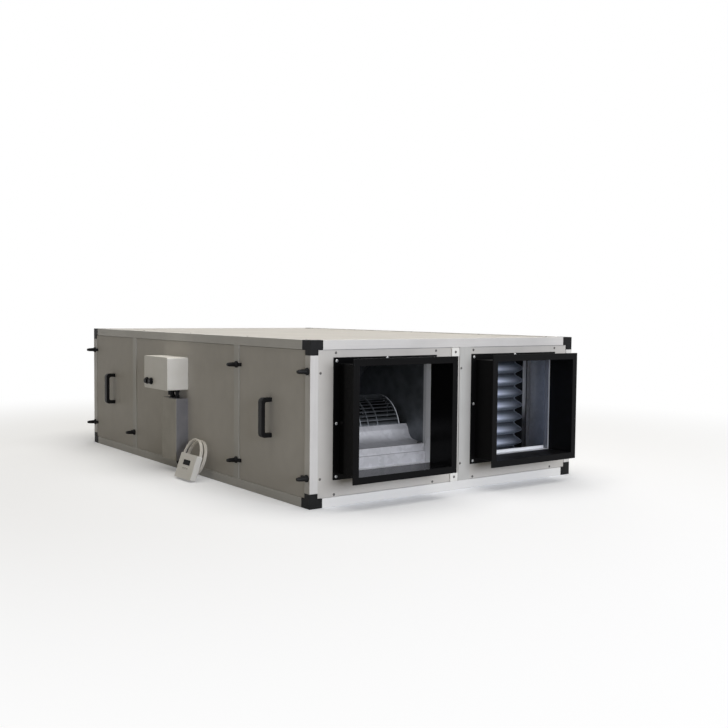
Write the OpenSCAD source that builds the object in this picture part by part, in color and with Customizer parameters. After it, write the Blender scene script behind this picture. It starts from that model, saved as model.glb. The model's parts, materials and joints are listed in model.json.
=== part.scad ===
// Air handling unit: an aluminium frame with black corner blocks, insulated grey panels,
// a spiral fan behind each near-side duct collar and a pleated filter behind each far-side one.
// Lengths are in millimetres. The floor is Z = 0, the front faces -Y and the near side faces -X.

/* [Casing] */
// Width across the two side faces
casing_w = 1175; // [1120:5:1300]
// Length from the front face to the rear face
casing_l = 1800; // [1700:10:2200]
// Height of the frame above the floor
casing_h = 520; // [510:5:600]
// Side of the square frame tube
tube = 30; // [28:1:34]
// Wall of the frame tube
tube_wall = 2; // [1.5:0.25:3]
// Thickness of the fins that the panels seat on
fin_t = 3; // [2:0.5:4]
// Reach of the fins behind the panels
fin_reach = 14; // [10:1:20]
// Reach of a corner block along each of its edges
corner_reach = 47; // [40:1:60]
// Length of a corner block's spigot inside a tube
spigot_l = 30; // [15:1:45]
// Clearance of a spigot all round in its tube
spigot_clear = 0.2; // [0.1:0.1:0.5]
// Depth of a panel's face below the frame's face
panel_recess = 2; // [1:0.5:4]
// Gap round each panel
panel_gap = 1; // [0.5:0.5:2]

/* [Mullions] */
// Distance of the end mullion from the near side
end_mullion_x = 610; // [590:1:630]
// Width of the end mullion
end_mullion_w = 52; // [40:1:60]
// Distance of a side mullion's middle from its end of the casing
side_mullion_d = 463; // [440:1:500]
// Width of a side mullion
side_mullion_w = 36; // [30:1:44]
// Thickness of the partition between the two air paths
partition_t = 25; // [15:1:35]

/* [Collars] */
// Distance of the fan collar's opening from the near side
fan_duct_x = 108; // [100:1:125]
// Clear width of the fan collar
fan_duct_w = 375; // [340:1:380]
// Distance from the end mullion to the filter collar's opening
filter_margin_near = 24; // [24:1:40]
// Distance from the filter collar's opening to the far rail
filter_margin_far = 84; // [70:1:100]
// Height of the collar openings above the floor
duct_sill = 105; // [100:1:112]
// Distance from the collar openings up to the top of the casing
duct_head = 76; // [70:1:90]
// Length of a collar from its panel to its outer face
collar_l = 110; // [80:1:150]
// Sheet thickness of a collar
collar_t = 2; // [1.5:0.5:3]
// Width of a collar's flanges, measured from the clear opening
flange_w = 22; // [18:1:24]
// Thickness of a collar's flanges
flange_t = 4; // [3:0.5:6]

/* [Fans] */
// Radius of the fan wheel
wheel_r = 120; // [110:1:124]
// Gap between the fan wheel and each side of its scroll
wheel_gap = 22.5; // [15:0.5:30]
// Depth of the fan axis behind the casing's end face
fan_axis_d = 257; // [250:1:280]
// Number of forward-curved blades
blade_count = 48; // [36:1:52]
// Radial length of a blade
blade_l = 24; // [18:1:28]
// Thickness of a blade
blade_t = 1.2; // [1:0.1:2]
// Angle by which a blade's tip leads its root
blade_lead = 9; // [4:0.5:12]
// Inset of the blades' tips from the wheel's rim
tip_inset = 1; // [0.5:0.5:2]
// Thickness of the wheel's end rings and centre disc
ring_t = 4; // [3:0.5:6]
// Radial width of the wheel's end rings
ring_w = 12; // [8:1:16]
// Thickness of the ribs that tie the blades between the end rings
rib_t = 2; // [1.5:0.5:3]
// Radial width of the ribs
rib_w = 8; // [6:1:12]
// Distance of the inner ribs from the centre disc
rib_inner = 32; // [24:1:40]
// Distance of the outer ribs from the centre disc
rib_outer = 72; // [60:1:90]
// Length of the wheel's hub
hub_l = 60; // [40:1:62]
// Diameter of the fan shaft
shaft_d = 20; // [16:1:25]
// Length of the shaft past each bearing
shaft_end = 12; // [8:1:16]
// Width of a bearing's housing
bearing_w = 30; // [24:1:34]
// Thickness of the arm that carries a bearing
bearing_arm_t = 4; // [3:0.5:6]
// Radial running clearance of the shaft in its bearings
bearing_clear = 0.05; // [0.02:0.01:0.1]
// Gap between the wheel and the scroll at the cut-off
cutoff_gap = 10; // [8:1:14]
// Angle round the fan axis, from the rear, at which the scroll's spiral starts
cutoff_angle = 168; // [160:1:175]
// Sheet thickness of the scroll
scroll_t = 2; // [1:0.5:3]
// Gap between the floor panel and the scroll under the fan axis
scroll_clear = 4; // [3:0.5:8]
// Width of the scroll's outlet flange
outlet_flange_w = 14; // [10:1:20]
// Height of the cut-off's foot plate above the opening's sill
foot_h = 36; // [30:1:42]
// Height of the cut-off's lip above its foot plate
lip_h = 24; // [18:1:30]
// Distance by which the lip stands behind the foot plate
lip_step = 9; // [6:1:12]
// Radius of the fan's inlets
inlet_r = 100; // [85:1:105]

/* [Filters] */
// Depth of the filter's face behind the casing's end face
filter_d = 186; // [150:1:220]
// Thickness of the filter
filter_t = 48; // [40:1:60]
// Width of the filter frame's bars
filter_bar = 16; // [12:1:20]
// Gap between the filter and the far end of its tracks
filter_far = 4; // [2:1:10]
// Height of one pleat
pleat_pitch = 47; // [40:0.5:55]
// Thickness of the filter cloth
cloth_t = 4; // [3:0.5:6]
// Sheet thickness of the filter tracks
track_t = 2; // [1.5:0.5:3]
// Height of the filter track's sides
track_h = 18; // [12:1:24]
// Clearance of the filter in its tracks
filter_clear = 1; // [0.5:0.5:2]
// Depth of the sill plate behind a filter opening
sill_depth = 60; // [40:1:80]
// Height of the sill plate's leg on the back of the panel
sill_leg = 40; // [25:1:50]
// Sheet thickness of the sill plate
sill_t = 2; // [1.5:0.5:3]

/* [Doors and clamps] */
// Height of the door handles' middle
handle_z = 263; // [240:1:280]
// Length of a handle over its feet
handle_l = 130; // [110:1:150]
// Reach of a handle off its door
handle_reach = 40; // [34:1:48]
// Thickness of a handle's bar
handle_bar = 14; // [10:1:16]
// Width of a handle's bar
handle_w = 22; // [18:1:26]
// Height of the lower clamps
clamp_low_z = 95; // [85:1:110]
// Distance of the upper clamps below the top of the casing
clamp_drop = 96; // [85:1:115]
// Diameter of a clamp's knob at its foot
clamp_d = 23; // [20:1:26]
// Reach of a clamp's knob off the frame
clamp_reach = 37; // [30:1:44]
// Reach of a clamp's tongue over the door
tongue_reach = 16; // [10:1:22]
// Thickness of a clamp's tongue
tongue_t = 4; // [3:0.5:5]
// Width of a panel clip
clip_w = 34; // [28:1:40]
// Height of a panel clip
clip_h = 30; // [24:1:36]
// Thickness of a panel clip
clip_t = 5; // [3:0.5:7]
// Gap between a panel clip and the end mullion
clip_edge = 5; // [2:1:10]
// Radius of a panel clip's corners
clip_round = 4; // [2:1:8]

/* [Electrical] */
// Distance of the control box from the front face
control_d = 839; // [820:1:860]
// Length of the control box along the unit
control_l = 208; // [180:1:240]
// Depth of the control box off its panel
control_depth = 84; // [60:1:100]
// Height of the control box from top to bottom
control_h = 123; // [100:1:130]
// Distance from the control box up to the top of the casing
control_drop = 89; // [80:1:100]
// Radius of the control box's corners
control_round = 5; // [3:1:10]
// Depth of the control box's lid
control_lid = 22; // [15:1:30]
// Radius of the lid's corners
lid_round = 7; // [3:1:12]
// Diameter of the two plugs on the lid
plug_d = 26; // [20:1:30]
// Reach of a plug off the lid
plug_l = 12; // [8:1:16]
// Distance of the lid's plugs from its rear end
plug_inset = 30; // [20:1:40]
// Distance between the lid's two plugs
plug_pitch = 38; // [32:1:50]
// Height of the lid's plugs above its lower edge
plug_rise = 28; // [20:1:40]
// Length of the conduits between the control box and the wiring box
link_l = 32; // [25:1:45]
// Length of the wiring box along the unit
wiring_l = 122; // [100:1:140]
// Depth of the wiring box off its panel
wiring_depth = 50; // [40:1:60]
// Height of the wiring box above the floor
wiring_z = 44; // [40:1:60]
// Radius of the wiring box's corners
wiring_round = 2; // [1:0.5:5]
// Diameter of a cable gland
gland_d = 20; // [16:1:24]
// Length of the spare gland under the control box
spare_l = 16; // [10:1:20]
// Length of the gland that the controller's cable leaves from
gland_l = 18; // [14:1:24]
// Distance of that gland from the wiring box's front end
gland_inset = 31; // [20:1:40]

/* [Room controller] */
// Length of the room controller
remote_l = 126; // [110:1:140]
// Height of the room controller
remote_h = 91; // [80:1:100]
// Thickness of the room controller
remote_t = 22; // [18:1:24]
// Radius of the room controller's corners
remote_round = 6; // [3:1:10]
// Lean of the room controller and of the coil from the vertical
remote_lean = 19; // [15:1:24]
// Gap between the room controller and the coil
remote_gap = 1; // [0.5:0.5:3]
// Distance of the room controller from the front face
remote_d = 614; // [600:1:620]
// Length of the room controller's window
window_l = 50; // [40:1:60]
// Height of the room controller's window
window_h = 18; // [14:1:24]
// Height of the window above the room controller's lower edge
window_rise = 50; // [45:1:55]
// Thickness of the window
window_t = 1; // [0.5:0.5:2]
// Diameter of the controller's cable
cable_d = 6; // [5:0.5:7]
// Outer diameter of the coil
coil_d = 140; // [130:1:144]
// Radial thickness of the coil
coil_t = 12; // [12:1:16]
// Width of the coil along its axis
coil_w = 30; // [26:1:34]
// Radius of the coil's edges
coil_round = 5; // [3:0.5:5.5]
// Gap between the coil and the casing's near side
coil_gap = 2; // [1:0.5:4]
// Distance of the coil's middle from the front face
coil_depth = 710; // [700:1:720]

/* [Hidden] */
$fn = 48;

panel_t = tube - panel_recess - fin_t;
seat = panel_recess + panel_t;
inner_h = casing_h - 2 * tube;
end_bay_far = end_mullion_x + end_mullion_w;
partition_x = end_mullion_x + (end_mullion_w - partition_t) / 2;
far_wall = casing_w - seat;
duct_h = casing_h - duct_sill - duct_head;
filter_duct_x = end_bay_far + filter_margin_near;
filter_duct_w = casing_w - tube - filter_margin_far - filter_duct_x;

aluminium = [0.78, 0.79, 0.80];
panel_grey = [0.66, 0.65, 0.62];
black = [0.07, 0.07, 0.08];
galvanised = [0.72, 0.74, 0.76];
cloth_blue = [0.70, 0.74, 0.80];
white = [0.90, 0.90, 0.88];
box_grey = [0.45, 0.46, 0.46];

// Children are placed from the near front bottom corner: X across, Y deep, Z up
module from_corner() {
    translate([-casing_w / 2, -casing_l / 2, 0]) children();
}

// The rear end repeats the front end
module rear_end() {
    mirror([0, 1, 0]) children();
}

module far_side() {
    mirror([1, 0, 0]) children();
}

// The same shape at the bottom and, upside down, at the top
module bottom_and_top() {
    children();
    translate([0, 0, casing_h]) mirror([0, 0, 1]) children();
}

module four_ways() {
    for (flip_x = [0, 1]) {
        for (flip_y = [0, 1]) {
            mirror([flip_x, 0, 0]) mirror([0, flip_y, 0]) children();
        }
    }
}

// A flat outline in the depth and height plane, given its width across the unit
module across(width) {
    rotate([90, 0, 90]) linear_extrude(width) children();
}

// Frame tube with its two panel fins, the outer corner at the origin
module rail_section() {
    difference() {
        square(tube);
        translate([tube_wall, tube_wall]) square(tube - 2 * tube_wall);
    }
    translate([tube, seat]) square([fin_reach, fin_t]);
    translate([seat, tube]) square([fin_t, fin_reach]);
}

module long_rails() {
    color(aluminium) bottom_and_top() for (side = [0, 1]) {
        mirror([side, 0, 0]) translate([-casing_w / 2, casing_l / 2 - corner_reach, 0])
            rotate([90, 0, 0]) linear_extrude(casing_l - 2 * corner_reach) rail_section();
    }
}

module cross_rails() {
    color(aluminium) bottom_and_top() for (end = [0, 1]) {
        mirror([0, end, 0]) translate([corner_reach - casing_w / 2, -casing_l / 2, 0])
            across(casing_w - 2 * corner_reach) rail_section();
    }
}

module corner_posts() {
    color(aluminium) four_ways() from_corner() translate([0, 0, corner_reach])
        linear_extrude(casing_h - 2 * corner_reach) rail_section();
}

module corner_block() {
    spigot = tube - 2 * tube_wall - 2 * spigot_clear;
    inset = (tube - spigot) / 2;
    cube([corner_reach, tube, tube]);
    cube([tube, corner_reach, tube]);
    cube([tube, tube, corner_reach]);
    translate([tube, inset, inset]) cube([corner_reach - tube + spigot_l, spigot, spigot]);
    translate([inset, tube, inset]) cube([spigot, corner_reach - tube + spigot_l, spigot]);
    translate([inset, inset, tube]) cube([spigot, spigot, corner_reach - tube + spigot_l]);
}

module corner_blocks() {
    color(black) bottom_and_top() four_ways() from_corner() corner_block();
}

// Upright mullion: a box section flush with the frame and a seat plate behind the panels
module mullion_section(width) {
    difference() {
        square([width, seat]);
        translate([tube_wall, tube_wall]) square([width - 2 * tube_wall, seat - 2 * tube_wall]);
    }
}

module mullion(width) {
    plate_z = tube + fin_reach + panel_gap;
    translate([0, 0, tube]) linear_extrude(inner_h) mullion_section(width);
    translate([-fin_reach, seat, plate_z])
        cube([width + 2 * fin_reach, fin_t, casing_h - 2 * plate_z]);
}

module end_mullions() {
    color(aluminium) for (end = [0, 1]) {
        mirror([0, end, 0]) from_corner() translate([end_mullion_x, 0, 0]) mullion(end_mullion_w);
    }
}

module side_mullions() {
    color(aluminium) four_ways() from_corner()
        translate([0, side_mullion_d + side_mullion_w / 2, 0])
        rotate([0, 0, -90]) mullion(side_mullion_w);
}

// A panel on the near side between two depths
module side_panel(from_d, to_d) {
    translate([panel_recess, from_d + panel_gap, tube + panel_gap])
        cube([panel_t, to_d - from_d - 2 * panel_gap, inner_h - 2 * panel_gap]);
}

module door_pair() {
    for (end = [0, 1]) {
        mirror([0, end, 0]) from_corner() side_panel(tube, side_mullion_d - side_mullion_w / 2);
    }
}

module middle_panel() {
    from_corner() side_panel(side_mullion_d + side_mullion_w / 2,
        casing_l - side_mullion_d - side_mullion_w / 2);
}

module top_panel() {
    color(panel_grey) from_corner()
        translate([tube + panel_gap, tube + panel_gap, casing_h - seat])
        cube([casing_w - 2 * (tube + panel_gap), casing_l - 2 * (tube + panel_gap), panel_t]);
}

// The floor panel is flush with the rails, so that the unit stands flat
module floor_panel() {
    color(panel_grey) from_corner() translate([tube + panel_gap, tube + panel_gap, 0])
        cube([casing_w - 2 * (tube + panel_gap), casing_l - 2 * (tube + panel_gap), seat]);
}

module near_doors() {
    color(panel_grey) door_pair();
}

module near_middle_panel() {
    color(panel_grey) middle_panel();
}

module far_doors() {
    color(panel_grey) far_side() door_pair();
}

module far_middle_panel() {
    color(panel_grey) far_side() middle_panel();
}

// An end panel between two distances from the near side, with its duct opening
module end_panel(from_x, to_x, opening_x, opening_w) {
    from_corner() difference() {
        translate([from_x + panel_gap, panel_recess, tube + panel_gap])
            cube([to_x - from_x - 2 * panel_gap, panel_t, inner_h - 2 * panel_gap]);
        translate([opening_x, 0, duct_sill]) cube([opening_w, tube, duct_h]);
    }
}

module fan_panel() {
    color(panel_grey) end_panel(tube, end_mullion_x, fan_duct_x, fan_duct_w);
}

module filter_panel() {
    color(panel_grey) end_panel(end_bay_far, casing_w - tube, filter_duct_x, filter_duct_w);
}

module front_fan_panel() {
    fan_panel();
}

module front_filter_panel() {
    filter_panel();
}

module rear_fan_panel() {
    rear_end() fan_panel();
}

module rear_filter_panel() {
    rear_end() filter_panel();
}

module centre_partition() {
    end_gap = seat + fin_t;
    color(galvanised) from_corner() translate([partition_x, end_gap, tube])
        cube([partition_t, casing_l - 2 * end_gap, inner_h]);
}

// Rectangular ring round a duct opening, standing on the plane of the opening
module duct_ring(opening_w, width, depth) {
    difference() {
        translate([-width, 0, -width]) cube([opening_w + 2 * width, depth, duct_h + 2 * width]);
        translate([0, -depth, 0]) cube([opening_w, 3 * depth, duct_h]);
    }
}

module collar(opening_x, opening_w) {
    color(black) from_corner() translate([opening_x, panel_recess - collar_l, duct_sill]) {
        duct_ring(opening_w, flange_w, flange_t);
        duct_ring(opening_w, collar_t, collar_l);
        translate([0, collar_l - flange_t, 0]) duct_ring(opening_w, flange_w, flange_t);
    }
}

module front_fan_collar() {
    collar(fan_duct_x, fan_duct_w);
}

module front_filter_collar() {
    collar(filter_duct_x, filter_duct_w);
}

module rear_fan_collar() {
    rear_end() collar(fan_duct_x, fan_duct_w);
}

module rear_filter_collar() {
    rear_end() collar(filter_duct_x, filter_duct_w);
}

// The scroll's spiral grows from the cut-off, under and behind the wheel, to the outlet's top
spiral_turn = 450 - cutoff_angle;
spiral_start = wheel_r + cutoff_gap;
spiral_low = 270 - cutoff_angle;
outlet_top = duct_sill + duct_h;
spiral_room = outlet_top - seat - scroll_clear - scroll_t;
spiral_steps = 36;

// The rate is halved in on until the spiral fills the height between the floor panel and the outlet's top
rate_limit = 0.02;
rate_steps = 40;

function spiral_height(rate) = spiral_start * (exp(rate * spiral_turn) + exp(rate * spiral_low));

function fitted_rate(low, high, steps) = let (middle = (low + high) / 2)
    steps == 0 ? middle
    : spiral_height(middle) > spiral_room ? fitted_rate(low, middle, steps - 1)
    : fitted_rate(middle, high, steps - 1);

spiral_rate = fitted_rate(0, rate_limit, rate_steps);
fan_axis_z = outlet_top - spiral_start * exp(spiral_rate * spiral_turn);

function spiral_point(turn, extra) = let (
    r = spiral_start * exp(spiral_rate * turn) + extra,
    a = cutoff_angle + turn
) [fan_axis_d + r * cos(a), fan_axis_z + r * sin(a)];

function spiral(extra, first) =
    [for (i = [first:spiral_steps]) spiral_point(spiral_turn * i / spiral_steps, extra)];

function backwards(points) = [for (i = [len(points) - 1:-1:0]) points[i]];

lip_d = seat + lip_step;
lip_low = duct_sill + foot_h;
lip_high = lip_low + lip_h;
nose = spiral_point(0, 0);

// The wrapper leaves room for the cut-off plate at its start
module scroll_wrapper() {
    polygon(concat(
        spiral(0, 1),
        [[seat, outlet_top], [seat, outlet_top + scroll_t]],
        backwards(spiral(scroll_t, 1))
    ));
}

module scroll_side() {
    difference() {
        polygon(concat(
            [[seat, lip_low], [lip_d, lip_low]],
            spiral(scroll_t, 2),
            [[seat, outlet_top + scroll_t]]
        ));
        translate([fan_axis_d, fan_axis_z]) circle(inlet_r);
    }
}

// Scroll: two side plates, the spiral wrapper and a flange folded out at the outlet
module scroll() {
    flange_h = outlet_top + scroll_t - lip_low;
    color(galvanised) from_corner() translate([fan_duct_x, 0, 0]) {
        across(fan_duct_w) scroll_wrapper();
        for (side = [-scroll_t, fan_duct_w]) {
            translate([side, 0, 0]) across(scroll_t) scroll_side();
        }
        for (side = [-scroll_t - outlet_flange_w, fan_duct_w + scroll_t]) {
            translate([side, seat, lip_low]) cube([outlet_flange_w, scroll_t, flange_h]);
        }
    }
}

// Cut-off: one sheet that closes the outlet's foot, folds into a lip and rises to the wheel
module cutoff_section() {
    polygon([
        [seat, duct_sill - outlet_flange_w],
        [seat, lip_low],
        [lip_d, lip_low],
        [lip_d, lip_high],
        nose,
        [nose[0] + scroll_t / 2, nose[1] - scroll_t],
        [lip_d + scroll_t, lip_high - scroll_t],
        [lip_d + scroll_t, lip_low - scroll_t],
        [seat + scroll_t, lip_low - scroll_t],
        [seat + scroll_t, duct_sill - outlet_flange_w]
    ]);
}

module cutoff() {
    color(galvanised) from_corner() translate([fan_duct_x, 0, 0]) across(fan_duct_w) cutoff_section();
}

// Blade outline: its lead grows with the square of its radius, so the tip curves forward
blade_steps = 5;
root_r = wheel_r - tip_inset - blade_l;

function blade_edge(extra) = [for (i = [0:blade_steps]) let (
    t = i / blade_steps,
    r = root_r + blade_l * t,
    a = blade_lead * t * t + extra * 180 / (PI * r)
) [r * cos(a), r * sin(a)]];

module blades() {
    for (i = [0:blade_count - 1]) {
        rotate(360 * i / blade_count) polygon(concat(blade_edge(0), backwards(blade_edge(blade_t))));
    }
}

module ring(inner_r) {
    difference() {
        circle(wheel_r);
        circle(inner_r);
    }
}

hub_r = shaft_d;
wheel_w = fan_duct_w - 2 * wheel_gap;

// A flat outline across the wheel, given its thickness at a distance from the wheel's middle
module at_wheel(place, thickness) {
    translate([(wheel_w - thickness) / 2 + place, 0, 0]) across(thickness) children();
}

// Wheel: curved blades on a centre disc, tied by an end ring and two ribs on each half
module wheel() {
    ring_place = (wheel_w - ring_t) / 2;
    color(galvanised) from_corner() translate([fan_duct_x + wheel_gap, fan_axis_d, fan_axis_z]) {
        at_wheel(0, wheel_w - ring_t) blades();
        at_wheel(0, ring_t) ring(shaft_d / 2);
        for (half = [-1, 1]) {
            at_wheel(half * ring_place, ring_t) ring(wheel_r - ring_w);
            for (place = [rib_inner, rib_outer]) {
                at_wheel(half * place, rib_t) ring(wheel_r - rib_w);
            }
        }
        at_wheel(0, hub_l) difference() {
            circle(hub_r);
            circle(shaft_d / 2);
        }
    }
}

shaft_l = fan_duct_w + 2 * (scroll_t + bearing_w + shaft_end);

module fan_shaft() {
    color(galvanised) from_corner()
        translate([fan_duct_x + (fan_duct_w - shaft_l) / 2, fan_axis_d, fan_axis_z])
        rotate([0, 90, 0]) cylinder(d = shaft_d, h = shaft_l);
}

// Bearing: a housing on a flat arm that spans the inlet
module bearing() {
    arm_l = 2 * (inlet_r + outlet_flange_w);
    difference() {
        union() {
            across(bearing_w) circle(hub_r);
            translate([bearing_w - bearing_arm_t, -bearing_w / 2, -arm_l / 2])
                cube([bearing_arm_t, bearing_w, arm_l]);
        }
        translate([-bearing_w, 0, 0]) across(3 * bearing_w) circle(shaft_d / 2 + bearing_clear);
    }
}

module bearings() {
    color(box_grey) from_corner() translate([fan_duct_x, fan_axis_d, fan_axis_z]) {
        translate([-scroll_t - bearing_w, 0, 0]) bearing();
        translate([fan_duct_w + scroll_t + bearing_w, 0, 0]) mirror([1, 0, 0]) bearing();
    }
}

module front_scroll() {
    scroll();
}

module front_cutoff() {
    cutoff();
}

module front_fan_wheel() {
    wheel();
}

module front_fan_shaft() {
    fan_shaft();
}

module front_fan_bearings() {
    bearings();
}

module rear_scroll() {
    rear_end() scroll();
}

module rear_cutoff() {
    rear_end() cutoff();
}

module rear_fan_wheel() {
    rear_end() wheel();
}

module rear_fan_shaft() {
    rear_end() fan_shaft();
}

module rear_fan_bearings() {
    rear_end() bearings();
}

// The tracks stop short of the far rails' fins
track_x = partition_x + partition_t;
track_end = casing_w - tube - fin_reach;
filter_x = track_x + filter_clear;
filter_w = track_end - filter_far - filter_x;
filter_z = seat + track_t;
filter_h = casing_h - 2 * filter_z - filter_clear;

module filter_frame() {
    color(galvanised) from_corner() translate([filter_x, filter_d, filter_z]) difference() {
        cube([filter_w, filter_t, filter_h]);
        translate([filter_bar, -filter_t, filter_bar])
            cube([filter_w - 2 * filter_bar, 3 * filter_t, filter_h - 2 * filter_bar]);
    }
}

// Pleated cloth: a wave with one crest for each pleat
pleat_steps = 8;
cloth_h = filter_h - 2 * filter_bar;
wave_count = floor(cloth_h / pleat_pitch);
wave_pitch = cloth_h / wave_count;
wave_depth = filter_t - cloth_t - 2 * filter_clear;

function wave(shift) = [for (i = [0:wave_count * pleat_steps]) [
    filter_clear + shift + wave_depth * (1 - cos(360 * i / pleat_steps)) / 2,
    wave_pitch * i / pleat_steps
]];

module filter_cloth() {
    color(cloth_blue) from_corner()
        translate([filter_x + filter_bar, filter_d, filter_z + filter_bar])
        across(filter_w - 2 * filter_bar) polygon(concat(wave(0), backwards(wave(cloth_t))));
}

module front_filter_frame() {
    filter_frame();
}

module front_filter_cloth() {
    filter_cloth();
}

module rear_filter_frame() {
    rear_end() filter_frame();
}

module rear_filter_cloth() {
    rear_end() filter_cloth();
}

// U-shaped track, open upwards, that a filter's edge stands in
module track_section() {
    inner = filter_t + 2 * filter_clear;
    difference() {
        translate([-track_t, 0]) square([inner + 2 * track_t, track_h]);
        translate([0, track_t]) square([inner, track_h]);
    }
}

// A track on the floor panel, one under the top panel and a shallow one up the far door
module track_pair() {
    upright_z = tube + fin_reach;
    bottom_and_top() from_corner() translate([track_x, filter_d - filter_clear, seat])
        across(track_end - track_x) track_section();
    from_corner() translate([far_wall, filter_d - filter_clear, upright_z])
        linear_extrude(casing_h - 2 * upright_z) rotate(90) intersection() {
            track_section();
            translate([-filter_t, 0]) square([3 * filter_t, far_wall - track_end]);
        }
}

module filter_tracks() {
    color(galvanised) {
        track_pair();
        rear_end() track_pair();
    }
}

// Sill plate: an angle on the panel's back, level with the filter opening's lower edge
module filter_sill() {
    from_corner() translate([filter_duct_x, seat, duct_sill]) across(filter_duct_w) polygon([
        [0, -sill_leg], [0, 0], [sill_depth, 0],
        [sill_depth, -sill_t], [sill_t, -sill_t], [sill_t, -sill_leg]
    ]);
}

module filter_sills() {
    color(galvanised) {
        filter_sill();
        rear_end() filter_sill();
    }
}

// Rounded rectangle with its lower left corner at the origin
module rounded_rect(w, h, r) {
    translate([r, 0]) square([w - 2 * r, h]);
    translate([0, r]) square([w, h - 2 * r]);
    for (x = [r, w - r]) {
        for (y = [r, h - r]) {
            translate([x, y]) circle(r);
        }
    }
}

// Bow handle on a door, its feet on the door's face
module handle() {
    inner_reach = handle_reach - handle_bar;
    inner_l = handle_l - 2 * handle_bar;
    rotate([90, 0, 0]) linear_extrude(handle_w, center = true) difference() {
        translate([-handle_reach, -handle_l / 2]) rounded_rect(2 * handle_reach, handle_l, handle_bar);
        translate([-inner_reach, -inner_l / 2]) rounded_rect(2 * inner_reach, inner_l, handle_bar / 2);
        translate([0, -handle_l]) square([2 * handle_reach, 2 * handle_l]);
    }
}

door_middle = (tube + side_mullion_d - side_mullion_w / 2) / 2;

module handle_pair() {
    for (end = [0, 1]) {
        mirror([0, end, 0]) from_corner() translate([panel_recess, door_middle, handle_z]) handle();
    }
}

module near_handles() {
    color(black) handle_pair();
}

module far_handles() {
    color(black) far_side() handle_pair();
}

clamp_high_z = casing_h - clamp_drop;

// Clamp: a knob on the frame and a tongue over the door's edge, which lies towards +Y
module clamp() {
    knob_foot = clamp_d / 2;
    rotate([0, -90, 0]) rotate_extrude() polygon([
        [0, 0], [knob_foot, 0], [knob_foot, tongue_t], [0.7 * knob_foot, 2 * tongue_t],
        [0.6 * knob_foot, 0.75 * clamp_reach], [0.45 * knob_foot, clamp_reach], [0, clamp_reach]
    ]);
    translate([-tongue_t, 0, -clamp_d / 4]) cube([tongue_t, tube / 2 + tongue_reach, clamp_d / 2]);
    translate([-tongue_t, tube / 2 + panel_gap, -clamp_d / 4])
        cube([tongue_t + panel_recess, tongue_reach - panel_gap, clamp_d / 2]);
}

// Clamps of the front end's door: on the corner post and on the mullion
module door_clamps(heights_at_mullion) {
    for (z = [clamp_low_z, clamp_high_z]) {
        from_corner() translate([0, tube / 2, z]) clamp();
    }
    for (z = heights_at_mullion) {
        from_corner() translate([0, side_mullion_d - side_mullion_w / 2 + tube / 2, z])
            mirror([0, 1, 0]) clamp();
    }
}

// The near rear door has lost its upper mullion clamp
module near_clamps() {
    color(black) {
        door_clamps([clamp_low_z, clamp_high_z]);
        rear_end() door_clamps([clamp_low_z]);
    }
}

module far_clamps() {
    color(black) far_side() {
        door_clamps([clamp_low_z, clamp_high_z]);
        rear_end() door_clamps([clamp_low_z, clamp_high_z]);
    }
}

// White clips that hold the fan panel's edge to the end mullion
module clip_pair() {
    for (z = [tube + panel_gap, casing_h - tube - panel_gap - clip_h]) {
        from_corner() translate([end_mullion_x - clip_edge - clip_w, panel_recess, z])
            rotate([90, 0, 0]) linear_extrude(clip_t) rounded_rect(clip_w, clip_h, clip_round);
    }
}

module panel_clips() {
    color(white) {
        clip_pair();
        rear_end() clip_pair();
    }
}

// A box on the near middle panel: a rounded outline standing off the panel's face
module wall_box(length, height, depth, radius) {
    rotate([0, -90, 0]) linear_extrude(depth) rounded_rect(height, length, radius);
}

control_z = casing_h - control_drop - control_h;
wiring_top = control_z - link_l;
lid_face = panel_recess - control_depth;

module control_box() {
    color(white) from_corner() translate([panel_recess, control_d, control_z])
        wall_box(control_l, control_h, control_depth - control_lid, control_round);
}

module control_lid() {
    color(white) from_corner() translate([lid_face + control_lid, control_d, control_z])
        wall_box(control_l, control_h, control_lid, lid_round);
}

// Two round plugs low at the rear of the lid, each with a raised middle
module lid_plugs() {
    color(black) from_corner() for (i = [0, 1]) {
        translate([lid_face, control_d + control_l - plug_inset - i * plug_pitch, control_z + plug_rise])
            rotate([0, -90, 0]) {
            cylinder(d = plug_d, h = plug_l / 2);
            cylinder(d = 0.7 * plug_d, h = plug_l);
        }
    }
}

module wiring_box() {
    color(box_grey) from_corner() translate([panel_recess, control_d, wiring_z])
        wall_box(wiring_l, wiring_top - wiring_z, wiring_depth, wiring_round);
}

gland_x = panel_recess - wiring_depth / 2;

// A short conduit with a hexagon nut at each end
module link_gland(x, d) {
    nut_h = link_l / 3;
    translate([x, d, wiring_top]) {
        cylinder(d = 0.7 * gland_d, h = link_l);
        cylinder(d = gland_d, h = nut_h, $fn = 6);
        translate([0, 0, link_l - nut_h]) cylinder(d = gland_d, h = nut_h, $fn = 6);
    }
}

// Glands between the two boxes, one under the control box and one for the controller's cable
module cable_glands() {
    color(black) from_corner() {
        link_gland(gland_x, control_d + wiring_l / 3);
        link_gland(gland_x, control_d + 2 * wiring_l / 3);
        translate([lid_face + gland_d, control_d + gland_d, control_z - spare_l])
            cylinder(d = 0.7 * gland_d, h = spare_l);
        translate([gland_x, control_d + gland_inset, wiring_z - gland_l])
            cylinder(d1 = 0.5 * gland_d, d2 = gland_d, h = gland_l);
    }
}

// The coil leans against the near side, and the room controller against the coil
coil_middle = [
    -coil_gap - coil_d / 2 * sin(remote_lean) - coil_w / 2 * cos(remote_lean),
    coil_depth,
    coil_d / 2 * cos(remote_lean) + coil_w / 2 * sin(remote_lean)
];
remote_out = (remote_t + remote_gap + coil_w / 2 + coil_middle[2] * sin(remote_lean)) / cos(remote_lean)
    - coil_middle[0];

// A place from the coil's middle: off its plane outwards, along the casing, and up its lean
function by_coil(off, along, rise) = coil_middle + [
    rise * sin(remote_lean) - off * cos(remote_lean),
    along,
    rise * cos(remote_lean) + off * sin(remote_lean)
];

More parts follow.
